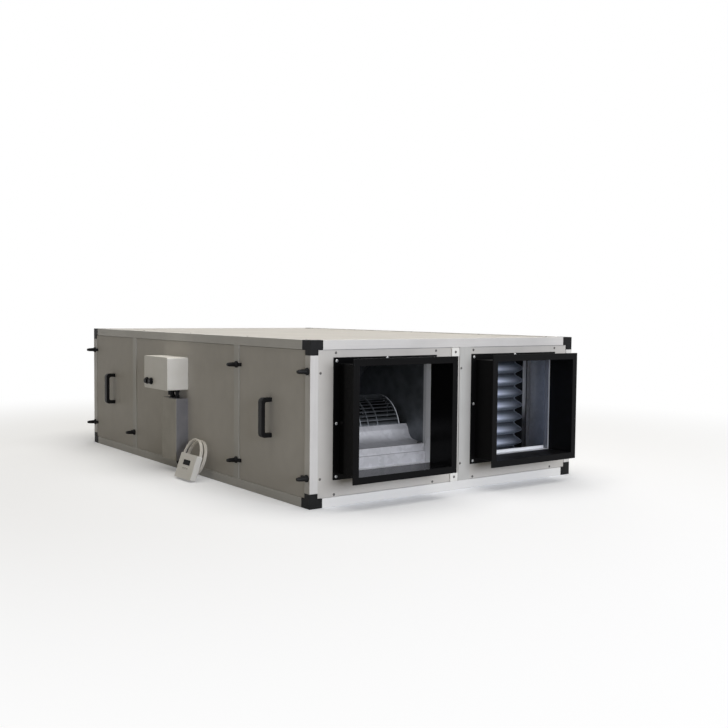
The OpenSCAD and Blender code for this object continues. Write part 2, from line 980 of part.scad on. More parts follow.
// Children are placed on the room controller's leaning face: X off it, Y along it, Z up it
module on_controller() {
    from_corner() translate([-remote_out, remote_d, 0]) rotate([0, remote_lean, 0])
        translate([0, 0, remote_t * tan(remote_lean)]) children();
}

// Room controller, leaning back against the coil
module room_controller() {
    color(white) on_controller() translate([remote_t, 0, 0])
        wall_box(remote_l, remote_h, remote_t, remote_round);
}

module controller_window() {
    color(black) on_controller() translate([0, (remote_l - window_l) / 2, window_rise])
        wall_box(window_l, window_h, window_t, 2 * window_t);
}

module cable_coil() {
    color(white) from_corner() translate(coil_middle) rotate([0, 90 + remote_lean, 0])
        rotate_extrude() translate([coil_d / 2 - coil_t / 2, 0])
        rounded_rect_middle(coil_t, coil_w, coil_round);
}

module rounded_rect_middle(w, h, r) {
    translate([-w / 2, -h / 2]) rounded_rect(w, h, r);
}

// Routes of the cable, from the near front bottom corner: off the gland to the coil's rear lane,
// and off the coil's front lane into the room controller's back
lane = (coil_w - cable_d) / 2;
turn_r = (coil_d - cable_d) / 2;
inner_r = turn_r - cable_d;
gland_route = [[-23, 870, 26], [-23, 870, 24], [-23.3, 866.9, 14.2], [-24.5, 858.6, 6.1],
    [-26.5, 847.2, 3.2], [-32, 828, 3.2], [-38, 808, 3.2], [-43, 788, 3.2], [-46.5, 768, 3.4],
    by_coil(-lane, 40, -turn_r), by_coil(-lane, 20, -turn_r), by_coil(-lane, 0, -turn_r)];
controller_route = [by_coil(lane, 0, -inner_r), by_coil(lane + 0.5, -10, 0.5 - inner_r),
    by_coil(lane + 2, -19, 2.5 - inner_r), by_coil(lane + 5, -27, 5.5 - inner_r),
    by_coil(lane + 9, -33, 9 - inner_r), by_coil(lane + 13, -37, 12 - inner_r)];

module gland_lead() {
    color(white) from_corner() sweep(gland_route, cable_d / 2);
}

module controller_lead() {
    color(white) from_corner() sweep(controller_route, cable_d / 2);
}

// A round cable swept along a route
cable_sides = 8;

function unit(v) = v / norm(v);

function heading(route, i) = unit(route[min(i + 1, len(route) - 1)] - route[max(i - 1, 0)]);

function ring_at(route, i, r) = let (
    along = heading(route, i),
    side = unit(cross(along, abs(along[2]) > 0.9 ? [1, 0, 0] : [0, 0, 1])),
    lift = cross(side, along)
) [for (k = [0:cable_sides - 1])
    route[i] + r * (cos(360 * k / cable_sides) * side + sin(360 * k / cable_sides) * lift)];

module sweep(route, r) {
    rings = [for (i = [0:len(route) - 1]) each ring_at(route, i, r)];
    last = (len(route) - 1) * cable_sides;
    faces = concat(
        [[for (k = [0:cable_sides - 1]) k]],
        [[for (k = [cable_sides - 1:-1:0]) last + k]],
        [for (i = [0:len(route) - 2]) for (k = [0:cable_sides - 1])
            let (a = i * cable_sides, n = (k + 1) % cable_sides)
            [a + k, a + cable_sides + k, a + cable_sides + n, a + n]]
    );
    polyhedron(rings, faces);
}

long_rails();
cross_rails();
corner_posts();
corner_blocks();
end_mullions();
side_mullions();
top_panel();
floor_panel();
near_doors();
near_middle_panel();
far_doors();
far_middle_panel();
front_fan_panel();
front_filter_panel();
rear_fan_panel();
rear_filter_panel();
centre_partition();
front_fan_collar();
front_filter_collar();
rear_fan_collar();
rear_filter_collar();
front_scroll();
front_cutoff();
front_fan_wheel();
front_fan_shaft();
front_fan_bearings();
rear_scroll();
rear_cutoff();
rear_fan_wheel();
rear_fan_shaft();
rear_fan_bearings();
front_filter_frame();
front_filter_cloth();
rear_filter_frame();
rear_filter_cloth();
filter_tracks();
filter_sills();
near_handles();
far_handles();
near_clamps();
far_clamps();
panel_clips();
control_box();
control_lid();
lid_plugs();
wiring_box();
cable_glands();
room_controller();
controller_window();
gland_lead();
cable_coil();
controller_lead();
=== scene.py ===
# %% [markdown]
# # A flat air handling unit, dressed for a portrait
# The unit is a long insulated box: an aluminium frame with black corner blocks, grey
# sandwich panels, two black duct collars at each end, a fan behind one collar and a
# pleated filter behind the other. The solids come from the CAD model, so this lesson only
# adds what solids can't say: finishes, soft edges, screws, cloth, a cable and the light.

# %% Load the solids
import json
import math

import bmesh
import bpy
from mathutils import Matrix, Vector

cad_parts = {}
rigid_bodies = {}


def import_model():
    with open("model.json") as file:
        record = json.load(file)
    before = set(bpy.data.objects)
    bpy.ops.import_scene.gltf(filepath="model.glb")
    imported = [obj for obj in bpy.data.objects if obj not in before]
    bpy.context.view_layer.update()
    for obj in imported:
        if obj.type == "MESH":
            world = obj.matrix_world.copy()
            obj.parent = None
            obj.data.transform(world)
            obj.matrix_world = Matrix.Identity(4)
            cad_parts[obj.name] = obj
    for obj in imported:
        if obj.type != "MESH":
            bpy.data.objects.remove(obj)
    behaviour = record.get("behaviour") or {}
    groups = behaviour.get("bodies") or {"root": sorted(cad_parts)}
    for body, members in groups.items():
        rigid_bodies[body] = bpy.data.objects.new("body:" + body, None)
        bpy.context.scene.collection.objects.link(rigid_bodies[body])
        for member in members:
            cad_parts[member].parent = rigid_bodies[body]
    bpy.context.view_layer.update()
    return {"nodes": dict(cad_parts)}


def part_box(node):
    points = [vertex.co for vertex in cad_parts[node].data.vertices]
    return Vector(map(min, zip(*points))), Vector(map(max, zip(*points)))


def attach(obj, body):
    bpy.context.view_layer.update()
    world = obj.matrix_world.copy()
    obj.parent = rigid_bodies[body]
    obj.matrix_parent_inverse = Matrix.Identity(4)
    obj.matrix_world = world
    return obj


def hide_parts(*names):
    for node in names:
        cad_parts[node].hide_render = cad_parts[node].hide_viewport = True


for leftover in list(bpy.data.objects):
    bpy.data.objects.remove(leftover)
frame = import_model()
nodes = frame["nodes"]
scene = bpy.context.scene


def rounded(values, digits=4):
    """Numbers short enough to print."""
    return [round(value, digits) for value in values]


# %% [markdown]
# ## Measuring from one corner
# Places on the unit are measured from the near front corner of the casing: to the right, into
# the depth and up, in millimetres. One helper turns such a measure into the metres of the
# scene, so the numbers below read like those on a workshop drawing.

# %% Corner measures
MM = 0.001
casing_low, casing_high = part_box("corner_blocks")
CASING_W = (casing_high.x - casing_low.x) / MM
CASING_L = (casing_high.y - casing_low.y) / MM
CASING_H = casing_high.z / MM


def from_corner(x, depth, height):
    """A point of the scene, from millimetres right of, behind and above the near corner."""
    return Vector((casing_low.x + x * MM, casing_low.y + depth * MM, height * MM))


print("casing", rounded((CASING_W, CASING_L, CASING_H), 1), "mm")

# %% [markdown]
# ## The camera
# The portrait is taken from the near front corner, a little above the unit's middle. Three
# turns describe the camera: yaw to the right of the depth axis, a slight pitch down and a
# touch of roll. Building the matrix from them keeps each turn readable.

# %% Camera
YAW, PITCH, ROLL = math.radians(36.46), math.radians(3.17), math.radians(0.54)
CAMERA_PLACE = (-2.1626, -3.3060, 0.6084)
SENSOR_WIDTH, FOCAL_LENGTH = 36, 46.84

ahead = Vector((
    math.sin(YAW) * math.cos(PITCH), math.cos(YAW) * math.cos(PITCH), -math.sin(PITCH)
))
level_right = Vector((math.cos(YAW), -math.sin(YAW), 0))
level_up = level_right.cross(ahead)
right = math.cos(ROLL) * level_right + math.sin(ROLL) * level_up
up = math.cos(ROLL) * level_up - math.sin(ROLL) * level_right

camera = bpy.data.objects.new("camera", bpy.data.cameras.new("camera"))
scene.collection.objects.link(camera)
camera.data.sensor_width = SENSOR_WIDTH
camera.data.lens = FOCAL_LENGTH
camera.matrix_world = Matrix.Translation(CAMERA_PLACE) @ Matrix(
    (right, up, -ahead)
).transposed().to_4x4()
scene.camera = camera
scene.view_settings.view_transform = "Standard"
print("camera at", rounded(camera.matrix_world.translation, 3))

# %% [markdown]
# ## The controller's cable
# A pale control cable leaves a gland under the wiring box, runs along the floor, stands in a
# loose coil that leans against the side, and ends in the back of the room controller. The
# four turns lie in two pairs. A turn changes its lane only in one short arc, at the same
# place in every turn, and the last one slips inside the ring first, so that no turn cuts
# through its neighbour. A curve with a round bevel makes the cable, because the points of
# a curve are the cable's own route, which a mesh tube would hide.

# %% Coil
CABLE_D, COIL_D, COIL_W, COIL_GAP, COIL_DEPTH = 6, 140, 30, 2, 710
LEAN = math.radians(19)
LANE, TURN_R = (COIL_W - CABLE_D) / 2, (COIL_D - CABLE_D) / 2
INNER_R = TURN_R - CABLE_D
LANES = [-LANE, CABLE_D - LANE, LANE - CABLE_D, LANE]
SHIFT_START, SHIFT_END = 0.80, 0.97
TUCK_START, TUCK_END = 0.55, 0.76
coil_middle = from_corner(
    -COIL_GAP - COIL_D / 2 * math.sin(LEAN) - COIL_W / 2 * math.cos(LEAN), COIL_DEPTH,
    COIL_D / 2 * math.cos(LEAN) + COIL_W / 2 * math.sin(LEAN)
)


def by_coil(off, along, rise):
    """A place from the coil's middle: off its plane, along the casing and up its lean."""
    return coil_middle + Vector((
        rise * math.sin(LEAN) - off * math.cos(LEAN), along,
        rise * math.cos(LEAN) + off * math.sin(LEAN)
    )) * MM


def eased(turns, start, end):
    """Rises smoothly from 0 to 1 while the count of turns goes from start to end."""
    share = min(max((turns - start) / (end - start), 0), 1)
    return share * share * (3 - 2 * share)


def coil_point(turns):
    """A point of the coil, after this many turns from its lowest point."""
    off = LANES[0] + sum(
        (after - before) * eased(turns, i + SHIFT_START, i + SHIFT_END)
        for i, (before, after) in enumerate(zip(LANES, LANES[1:]))
    )
    last = len(LANES) - 1
    radius = TURN_R - CABLE_D * eased(turns, last + TUCK_START, last + TUCK_END)
    angle = -math.pi / 2 - 2 * math.pi * turns
    return by_coil(off, radius * math.cos(angle), radius * math.sin(angle))


print("coil", len(LANES), "turns, middle at", rounded(coil_middle))

# %% Cable route
TURN_STEPS, LINE_STEPS = 36, 3


def smooth_line(points, steps):
    """A curve through all the points, with this many steps between two of them."""
    line = []
    ends = [points[0] * 2 - points[1]] + points + [points[-1] * 2 - points[-2]]
    for a, b, c, d in zip(ends, ends[1:], ends[2:], ends[3:]):
        for i in range(steps):
            t = i / steps
            line.append(0.5 * (
                2 * b + (c - a) * t + (2 * a - 5 * b + 4 * c - d) * t * t
                + (3 * b - a - 3 * c + d) * t * t * t
            ))
    return line + [points[-1]]


off_gland = [
    (-23, 870, 26), (-23, 870, 24), (-23.3, 866.9, 14.2), (-24.5, 858.6, 6.1),
    (-26.5, 847.2, 3.2), (-32, 828, 3.2), (-38, 808, 3.2), (-43, 788, 3.2), (-46.5, 768, 3.4),
]
onto_coil = [by_coil(-LANE, 40, -TURN_R), by_coil(-LANE, 20, -TURN_R)]
turns = [coil_point(i / TURN_STEPS) for i in range(len(LANES) * TURN_STEPS + 1)]
into_controller = [
    by_coil(LANE + 0.5, -10, 0.5 - INNER_R), by_coil(LANE + 2, -19, 2.5 - INNER_R),
    by_coil(LANE + 5, -27, 5.5 - INNER_R), by_coil(LANE + 9, -33, 9 - INNER_R),
    by_coil(LANE + 13, -37, 12 - INNER_R),
]
cable_line = smooth_line(
    [from_corner(*place) for place in off_gland] + onto_coil + turns + into_controller, LINE_STEPS
)

# %% Cable piece
cable_curve = bpy.data.curves.new("controller_cable", "CURVE")
cable_curve.dimensions = "3D"
cable_curve.bevel_depth = 1.0
cable_curve.bevel_resolution = 3
cable_curve.use_fill_caps = True
cable_spline = cable_curve.splines.new("POLY")
cable_spline.points.add(len(cable_line) - 1)
for spline_point, place in zip(cable_spline.points, cable_line):
    spline_point.co = (*place, 1)
    spline_point.radius = CABLE_D / 2 * MM
cable = bpy.data.objects.new("controller_cable", cable_curve)
scene.collection.objects.link(cable)
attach(cable, "casing")
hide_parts("gland_lead", "cable_coil", "controller_lead")
print("cable leaves the gland at", rounded(cable_line[0]))

# %% [markdown]
# ## Floor, sky and lamps
# A product portrait has a white ground. The sky and the floor are white to the camera and in
# reflections, while the light they throw back on the unit is weaker: a light path switch
# keeps the two apart. Round the unit the floor stays a diffuse surface, so the unit keeps
# its shadow, and further away it fades to plain white. A large soft lamp overhead lights the
# top, a wide low one in front reaches into the collars, and a weaker one behind the far
# corner lights the other two sides, so only the near side falls into shade. The last one is
# kept out of reflections, because it would glare on the top.

# %% Node helpers
def add_node(tree, kind, inputs=None, **settings):
    """Adds a node, sets its properties, then fills its inputs or links them to sockets or nodes."""
    made = tree.nodes.new(kind)
    for name, value in settings.items():
        setattr(made, name, value)
    for socket, value in (inputs or {}).items():
        source = value.outputs[0] if isinstance(value, bpy.types.Node) else value
        if isinstance(source, bpy.types.NodeSocket):
            tree.links.new(source, made.inputs[socket])
        else:
            made.inputs[socket].default_value = source
    return made


def calculate(tree, operation, first, second=0.0):
    """The result of a math node of the given kind."""
    return add_node(
        tree, "ShaderNodeMath", {0: first, 1: second}, operation=operation
    ).outputs[0]


def spread(tree, value, low, high, start=0.3, end=0.7, interpolation="LINEAR"):
    """Maps start to low and end to high. The usual start and end take the middle of a noise."""
    return add_node(tree, "ShaderNodeMapRange", {
        "Value": value, "From Min": start, "From Max": end, "To Min": low, "To Max": high
    }, interpolation_type=interpolation).outputs[0]


def length_of(tree, vector):
    """How far a place is from the origin."""
    return add_node(tree, "ShaderNodeVectorMath", {0: vector}, operation="LENGTH").outputs["Value"]


def mix_shaders(tree, share, first, second):
    """Goes from the first node's shader to the second's as the share goes from 0 to 1."""
    return add_node(tree, "ShaderNodeMixShader", {0: share, 1: first, 2: second})


def seen_directly(tree):
    """One where a ray comes from the camera, a mirror or a clear pane, otherwise zero."""
    path = add_node(tree, "ShaderNodeLightPath").outputs
    seen = calculate(tree, "MAXIMUM", path["Is Camera Ray"], path["Is Glossy Ray"])
    return calculate(tree, "MAXIMUM", seen, path["Is Transmission Ray"])


print("node helpers ready")

# %% Sky
SKY_FILL, SKY_TINT, WHITE = 0.128, (1.0, 0.895, 0.68, 1), (1, 1, 1, 1)

world = bpy.data.worlds.new("studio")
world.use_nodes = True
scene.world = world
sky = world.node_tree
sky.nodes.clear()
fill_light = add_node(sky, "ShaderNodeBackground", {"Color": SKY_TINT, "Strength": SKY_FILL})
white_ground = add_node(sky, "ShaderNodeBackground", {"Color": WHITE, "Strength": 1.0})
sky_mix = mix_shaders(sky, seen_directly(sky), fill_light, white_ground)
add_node(sky, "ShaderNodeOutputWorld", {"Surface": sky_mix})
print("sky fill", SKY_FILL)

# %% Floor
FLOOR_HALF, FADE_START, FADE_END, FLOOR_GLOW = 12, 1.2, 3.2, 0.2
DULL_FLOOR, PALE_FLOOR = (0.41, 0.405, 0.39, 1), (0.84, 0.862, 0.905, 1)

floor_material = bpy.data.materials.new("studio_floor")
floor_material.use_nodes = True
ground = floor_material.node_tree
ground.nodes.clear()
dull = add_node(ground, "ShaderNodeBsdfDiffuse", {"Color": DULL_FLOOR})
pale = add_node(ground, "ShaderNodeBsdfDiffuse", {"Color": PALE_FLOOR})
glow = add_node(ground, "ShaderNodeEmission", {"Color": WHITE, "Strength": FLOOR_GLOW})
bright = add_node(ground, "ShaderNodeAddShader", {0: pale, 1: glow})
white = add_node(ground, "ShaderNodeEmission", {"Color": WHITE, "Strength": 1.0})
away = length_of(ground, add_node(ground, "ShaderNodeTexCoord").outputs["Object"])
fade = spread(ground, away, 0, 1, FADE_START, FADE_END, "SMOOTHSTEP")
faded = mix_shaders(ground, fade, bright, white)
ground_mix = mix_shaders(ground, seen_directly(ground), dull, faded)
add_node(ground, "ShaderNodeOutputMaterial", {"Surface": ground_mix})

floor_mesh = bpy.data.meshes.new("studio_floor")
floor_mesh.from_pydata(
    [(x * FLOOR_HALF, y * FLOOR_HALF, 0) for x, y in ((-1, -1), (1, -1), (1, 1), (-1, 1))],
    [], [(0, 1, 2, 3)]
)
floor = bpy.data.objects.new("studio_floor", floor_mesh)
floor_mesh.materials.append(floor_material)
scene.collection.objects.link(floor)
print("floor", 2 * FLOOR_HALF, "m square")

# %% Lamps
UNIT_MIDDLE = Vector((0, 0, CASING_H / 2 * MM))


def soft_lamp(name, place, size, level, colour):
    """A soft lamp aimed at the unit's middle, where a white sheet renders at about its level."""
    lamp = bpy.data.objects.new(name, bpy.data.lights.new(name, "AREA"))
    towards = UNIT_MIDDLE - Vector(place)
    lamp.data.shape = "RECTANGLE"
    lamp.data.size, lamp.data.size_y = size
    lamp.data.energy = level * math.pi ** 2 * towards.length_squared
    lamp.data.color = colour
    lamp.location = place
    lamp.rotation_euler = towards.to_track_quat("-Z", "Y").to_euler()
    scene.collection.objects.link(lamp)
    print(name, "power", round(lamp.data.energy), "W")
    return lamp


soft_lamp("overhead_lamp", (0.3, -0.6, 5.6), (4, 5), level=0.77, colour=(1.0, 0.965, 0.90))
soft_lamp("front_lamp", (-0.2, -6.4, 1.3), (4.4, 1.8), level=0.58, colour=(0.885, 0.915, 1.0))
back_lamp = soft_lamp("back_lamp", (4.2, 5.2, 1.4), (4, 2), level=0.34, colour=(1.0, 0.98, 0.95))
back_lamp.visible_glossy = False

# %% [markdown]
# ## Finishes
# No real surface is one flat colour. Pictures could carry the finishes, but patterns that are
# worked out from the place need no unwrapping. The common recipe here is a pair of noises: a
# broad one that drifts the colour between two near shades, and a fine one that varies the
# roughness and raises a small bump. Each finish chooses its own shades, grain and roughness.

# %% Patterns
GRAIN_DEPTH = 0.6


def noise(tree, place, scale, detail, stretch=None):
    """A noise with this many grains to the metre, stretched along an axis if asked."""
    if stretch:
        place = add_node(tree, "ShaderNodeMapping", {"Vector": place, "Scale": stretch})
    made = add_node(tree, "ShaderNodeTexNoise", {"Vector": place, "Scale": scale, "Detail": detail})
    return made.outputs[0]


def product(tree, first, *others):
    """All the values multiplied."""
    for other in others:
        first = calculate(tree, "MULTIPLY", first, other)
    return first


def weigh(tree, first, second, share):
    """The sum of two patterns, of which the first has this share and the second the rest."""
    return calculate(tree, "ADD", product(tree, first, share), product(tree, second, 1 - share))


def tone(red, green, blue):
    """The shader's colour for a colour as a screen shows it, from 0 to 255."""
    return tuple(
        ((c / 255 + 0.055) / 1.055) ** 2.4 if c > 10 else c / 255 / 12.92
        for c in (red, green, blue)
    ) + (1.0,)


def blend_colours(tree, share, first, second):
    """Goes from one colour to another with the share. A colour is a pattern or a screen's."""
    first, second = (
        colour if isinstance(colour, bpy.types.NodeSocket) else tone(*colour)
        for colour in (first, second)
    )
    return add_node(
        tree, "ShaderNodeMix", {0: share, 6: first, 7: second}, data_type="RGBA"
    ).outputs[2]


def raise_bump(tree, shader, height, strength, depth=GRAIN_DEPTH):
    """Lets a height pattern tilt the surface's light."""
    bump = add_node(tree, "ShaderNodeBump", {
        "Height": height, "Strength": strength, "Distance": depth * MM
    })
    tree.links.new(bump.outputs[0], shader.inputs["Normal"])


print("patterns ready")

# %% Common recipe
BROAD_SHARE = 0.7


def new_finish(name, **sockets):
    """An empty finish with its shader, and Object coordinates to lay patterns on."""
    material = bpy.data.materials.new(name)
    material.use_nodes = True
    tree = material.node_tree
    tree.nodes.clear()
    values = {socket.replace("_", " "): value for socket, value in sockets.items()}
    shader = add_node(tree, "ShaderNodeBsdfPrincipled", values)
    add_node(tree, "ShaderNodeOutputMaterial", {"Surface": shader})
    place = add_node(tree, "ShaderNodeTexCoord").outputs["Object"]
    return material, tree, shader, place


def feed(tree, shader, **patterns):
    """Leads each pattern to the shader's socket of that name."""
    for socket, pattern in patterns.items():
        tree.links.new(pattern, shader.inputs[socket.replace("_", " ")])


def two_tone(name, dark, light, grain, roughness, bump, drift=9, stretch=None, **sockets):
    """A finish whose colour drifts between two shades over a fine grain."""
    material, tree, shader, place = new_finish(name, **sockets)
    broad = noise(tree, place, drift, 5)
    fine = noise(tree, place, grain, 3, stretch)
    shade = spread(tree, weigh(tree, broad, fine, BROAD_SHARE), 0, 1)
    feed(
        tree, shader, Base_Color=blend_colours(tree, shade, dark, light),
        Roughness=spread(tree, fine, *roughness)
    )
    raise_bump(tree, shader, fine, bump)
    return material


print("recipe ready: two tones over a fine grain")

# %% [markdown]
# ## Aluminium profiles
# The frame is extruded: the die leaves fine lines along the length, and the matt anodised
# skin scatters light. The same noise is stretched along the run of each member, so rails,
# cross rails and posts need one finish each. The long rails and the mullions are a shade
# darker. The lower cross rails, which share a solid with the upper ones, are painted paler,
# as painted light from the floor.

# %% Aluminium
ALONG_X, ALONG_Y, ALONG_Z = (0.02, 1, 1), (1, 0.02, 1), (1, 1, 0.02)


def axes_of(tree, place):
    """The three coordinates of a place, each as a value of its own."""
    return add_node(tree, "ShaderNodeSeparateXYZ", {0: place}).outputs


def extruded(name, stretch, dark=(205, 203, 200), light=(226, 224, 221)):
    """Matt aluminium with die lines along the axis that has the smallest stretch."""
    return two_tone(
        name, dark, light, grain=260, roughness=(0.40, 0.54), bump=0.10, drift=5,
        stretch=stretch, Specular_IOR_Level=0.2
    )


def paler_below(material, height, colour):
    """Lays a paler colour on what lies below a height."""
    tree = material.node_tree
    base = next(n for n in tree.nodes if n.type == "BSDF_PRINCIPLED").inputs["Base Color"]
    place = add_node(tree, "ShaderNodeTexCoord").outputs["Object"]
    low = calculate(tree, "LESS_THAN", axes_of(tree, place)[2], height)
    tree.links.new(blend_colours(tree, low, base.links[0].from_socket, colour), base)


profile_x = extruded("aluminium_across", ALONG_X)
# Painted light: the lower cross rails are paler, as if lit from the floor.
paler_below(profile_x, UNIT_MIDDLE.z, (236, 235, 232))
profile_y = extruded("aluminium_lengthways", ALONG_Y, (195, 194, 191), (214, 213, 210))
profile_z = extruded("aluminium_upright", ALONG_Z)
profile_mid = extruded("aluminium_mullion", ALONG_Z, (187, 186, 182), (203, 202, 198))
print("aluminium in four finishes")

# %% [markdown]
# ## Bare galvanised sheet
# Hot zinc freezes in flat crystals, the spangle, each with its own gloss. A pattern of random
# cells stands for the crystals: every cell has its own shade, and a soft cloud evens it out.
# A noise bends the cells a little, because their straight edges would look drawn.

# %% Galvanised sheet
SPANGLES, WARP_GRAIN, WARP_X, WARP_Y = 70, 40, 12, -9
PEEL_DEPTH = 0.5


def spangle(tree, place, dark=(170, 170, 173), light=(190, 190, 193)):
    """The zinc's colour and roughness at a place."""
    warp = noise(tree, place, WARP_GRAIN, 2)
    push = add_node(tree, "ShaderNodeCombineXYZ", {
        0: product(tree, warp, WARP_X * MM), 1: product(tree, warp, WARP_Y * MM)
    })
    bent = add_node(tree, "ShaderNodeVectorMath", {0: place, 1: push}, operation="ADD")
    crystals = add_node(tree, "ShaderNodeTexVoronoi", {"Vector": bent, "Scale": SPANGLES})
    cell = add_node(tree, "ShaderNodeSeparateColor", {0: crystals.outputs["Color"]})
    shade = weigh(tree, cell, noise(tree, place, 14, 5), 0.5)
    colour = blend_colours(tree, spread(tree, shade, 0, 1, 0.15, 0.85), dark, light)
    return colour, spread(tree, shade, 0.38, 0.52, 0.1, 0.9)


def spangled_sheet(name):
    """Bare zinc with its crystals."""
    material, tree, shader, place = new_finish(name, Metallic=0.15)
    colour, roughness = spangle(tree, place)
    feed(tree, shader, Base_Color=colour, Roughness=roughness)
    raise_bump(tree, shader, noise(tree, place, 300, 3), 0.05, PEEL_DEPTH)
    return material


galvanised = spangled_sheet("galvanised_sheet")
folded_edge = two_tone(
    "folded_edge", (226, 228, 230), (240, 241, 243), grain=260, roughness=(0.4, 0.5), bump=0.05,
    drift=20
)
print("zinc crystals", round(1 / MM / SPANGLES, 1), "mm")

# %% [markdown]
# ## Aged zinc in the air's way
# Air has dulled the zinc of the scroll, the wheel and the filter frames, so it is darker and
# shows no crystals. Some bands stay bright: the mouth of the scroll, the turned end rings of
# the wheel and the outer face of a filter frame. They are told apart by their distance from
# the middle of the unit or of the wheel, so the wheel's rings stay in place when it spins.
# Inside the wheel, what lies deeper than the blades' outer edges is painted dark as shade. The
# lower half of a filter frame is painted darker as shade.

# %% Aged zinc
MOUTH, FRAME_FACE, SHADE_FADE = 40, 189, 70


def aged_zinc(name, axis, middle, bright_from, dark=(100, 104, 108), light=(130, 134, 139),
              inner_shade=None, shade_top=0.0):
    """Dull zinc that is bright beyond a distance from a middle plane across the axis."""
    material, tree, shader, place = new_finish(name)
    axes = axes_of(tree, place)
    stain, fine = noise(tree, place, 25, 5), noise(tree, place, 300, 3)
    colour = blend_colours(tree, spread(tree, stain, 0, 1), dark, light)
    # Painted shade inside, where it is given.
    if inner_shade:
        colour = inner_shade(tree, axes, colour)
    off = calculate(tree, "ABSOLUTE", calculate(tree, "SUBTRACT", axes[axis], middle))
    bright_share = calculate(tree, "GREATER_THAN", off, bright_from)
    colour = blend_colours(tree, bright_share, colour, (206, 208, 211))
    # Painted shade: darker below a height, where it is given.
    if shade_top:
        lower_shade = spread(tree, axes[2], 1, 0, shade_top - SHADE_FADE * MM, shade_top)
        colour = blend_colours(tree, lower_shade, colour, (66, 66, 68))
    feed(
        tree, shader, Base_Color=colour, Metallic=spread(tree, bright_share, 0.8, 0.05, 0, 1),
        Roughness=spread(tree, fine, 0.42, 0.55)
    )
    raise_bump(tree, shader, fine, 0.06)
    return material


scroll_zinc = aged_zinc("scroll_zinc", 1, 0.0, (CASING_L / 2 - MOUTH) * MM)
# The filter frames are painted darker in their lower half, as shade.
frame_zinc = aged_zinc(
    "frame_zinc", 1, 0.0, (CASING_L / 2 - FRAME_FACE) * MM, (58, 60, 64), (80, 83, 87),
    shade_top=UNIT_MIDDLE.z
)
print("bright within", MOUTH, "mm of the end on a scroll,", FRAME_FACE, "mm on a filter frame")

# %% Fan wheel finish
RING, SHADE_DEPTH, LIT_EDGE_DEPTH = 3, 14, 4
wheel_low, wheel_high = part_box("front_fan_wheel")
wheel_middle = (wheel_low + wheel_high) / 2
wheel_radius = (wheel_high.z - wheel_low.z) / 2


def wheel_inner_shade(tree, axes, colour):
    """Painted shade on what lies deeper in a wheel than its blades' edges. Both wheels sit alike.
    """
    across = calculate(tree, "SUBTRACT", calculate(tree, "ABSOLUTE", axes[1]), -wheel_middle.y)
    upwards = calculate(tree, "SUBTRACT", axes[2], wheel_middle.z)
    from_axle = add_node(tree, "ShaderNodeCombineXYZ", {0: across, 1: upwards})
    # Painted shade: near black deep in the wheel, fading out near the blades' edges.
    lit_edge = spread(
        tree, length_of(tree, from_axle), 0, 1,
        wheel_radius - SHADE_DEPTH * MM, wheel_radius - LIT_EDGE_DEPTH * MM
    )
    return blend_colours(tree, lit_edge, (24, 26, 29), colour)


wheel_zinc = aged_zinc(
    "wheel_zinc", 0, wheel_middle.x, wheel_high.x - wheel_middle.x - RING * MM,
    (118, 122, 126), (146, 150, 154), wheel_inner_shade
)
print("wheel from", round(wheel_low.x, 4), "to", round(wheel_high.x, 4), "m")

# %% [markdown]
# ## Panel paint
# A sandwich panel has a painted outer skin and a bare zinc inner one, and the cut edge of a
# duct opening is lined with a pale folded trim. On the filters' side the trim is only a narrow
# edge, and the reveal behind it is painted darker grey as shade, but below the sill it is pale
# all through. All belong to one solid, so the finish tells them apart by place: inside the box
# of inner faces it is zinc, in the thickness of an end panel it is trim or painted shade, and
# the rest is paint. The paint is satin with a fine orange peel, a slow drift of tone and a
# little dust towards the floor.

# %% Places on a panel
SEAT, RECESS, SKIN, TRIM_EDGE = 27, 2, 0.5, 5
inner_x = (CASING_W / 2 - SEAT + SKIN) * MM
inner_y = (CASING_L / 2 - SEAT + SKIN) * MM
trim_y = (CASING_L / 2 - RECESS - SKIN) * MM
reveal_shade_y = trim_y - TRIM_EDGE * MM
inner_low, inner_high = (SEAT - SKIN) * MM, (CASING_H - SEAT + SKIN) * MM
sill_low, sill_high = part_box("filter_sills")
sill_level = sill_high.z + SKIN * MM


def in_box(tree, axes, half_length):
    """One inside the box of inner faces, cut off at this half length, otherwise zero."""
    return product(
        tree, calculate(tree, "LESS_THAN", calculate(tree, "ABSOLUTE", axes[0]), inner_x),
        calculate(tree, "LESS_THAN", calculate(tree, "ABSOLUTE", axes[1]), half_length),
        calculate(tree, "GREATER_THAN", axes[2], inner_low),
        calculate(tree, "LESS_THAN", axes[2], inner_high)
    )


print("paint outside", rounded((inner_x, inner_y)), "m")

# %% Panel paint
DUST_SHARE, DUST_FULL, DUST_TOP = 0.2, 20, 160
ZINC_POLISH, ZINC_METAL = 0.5, 0.4


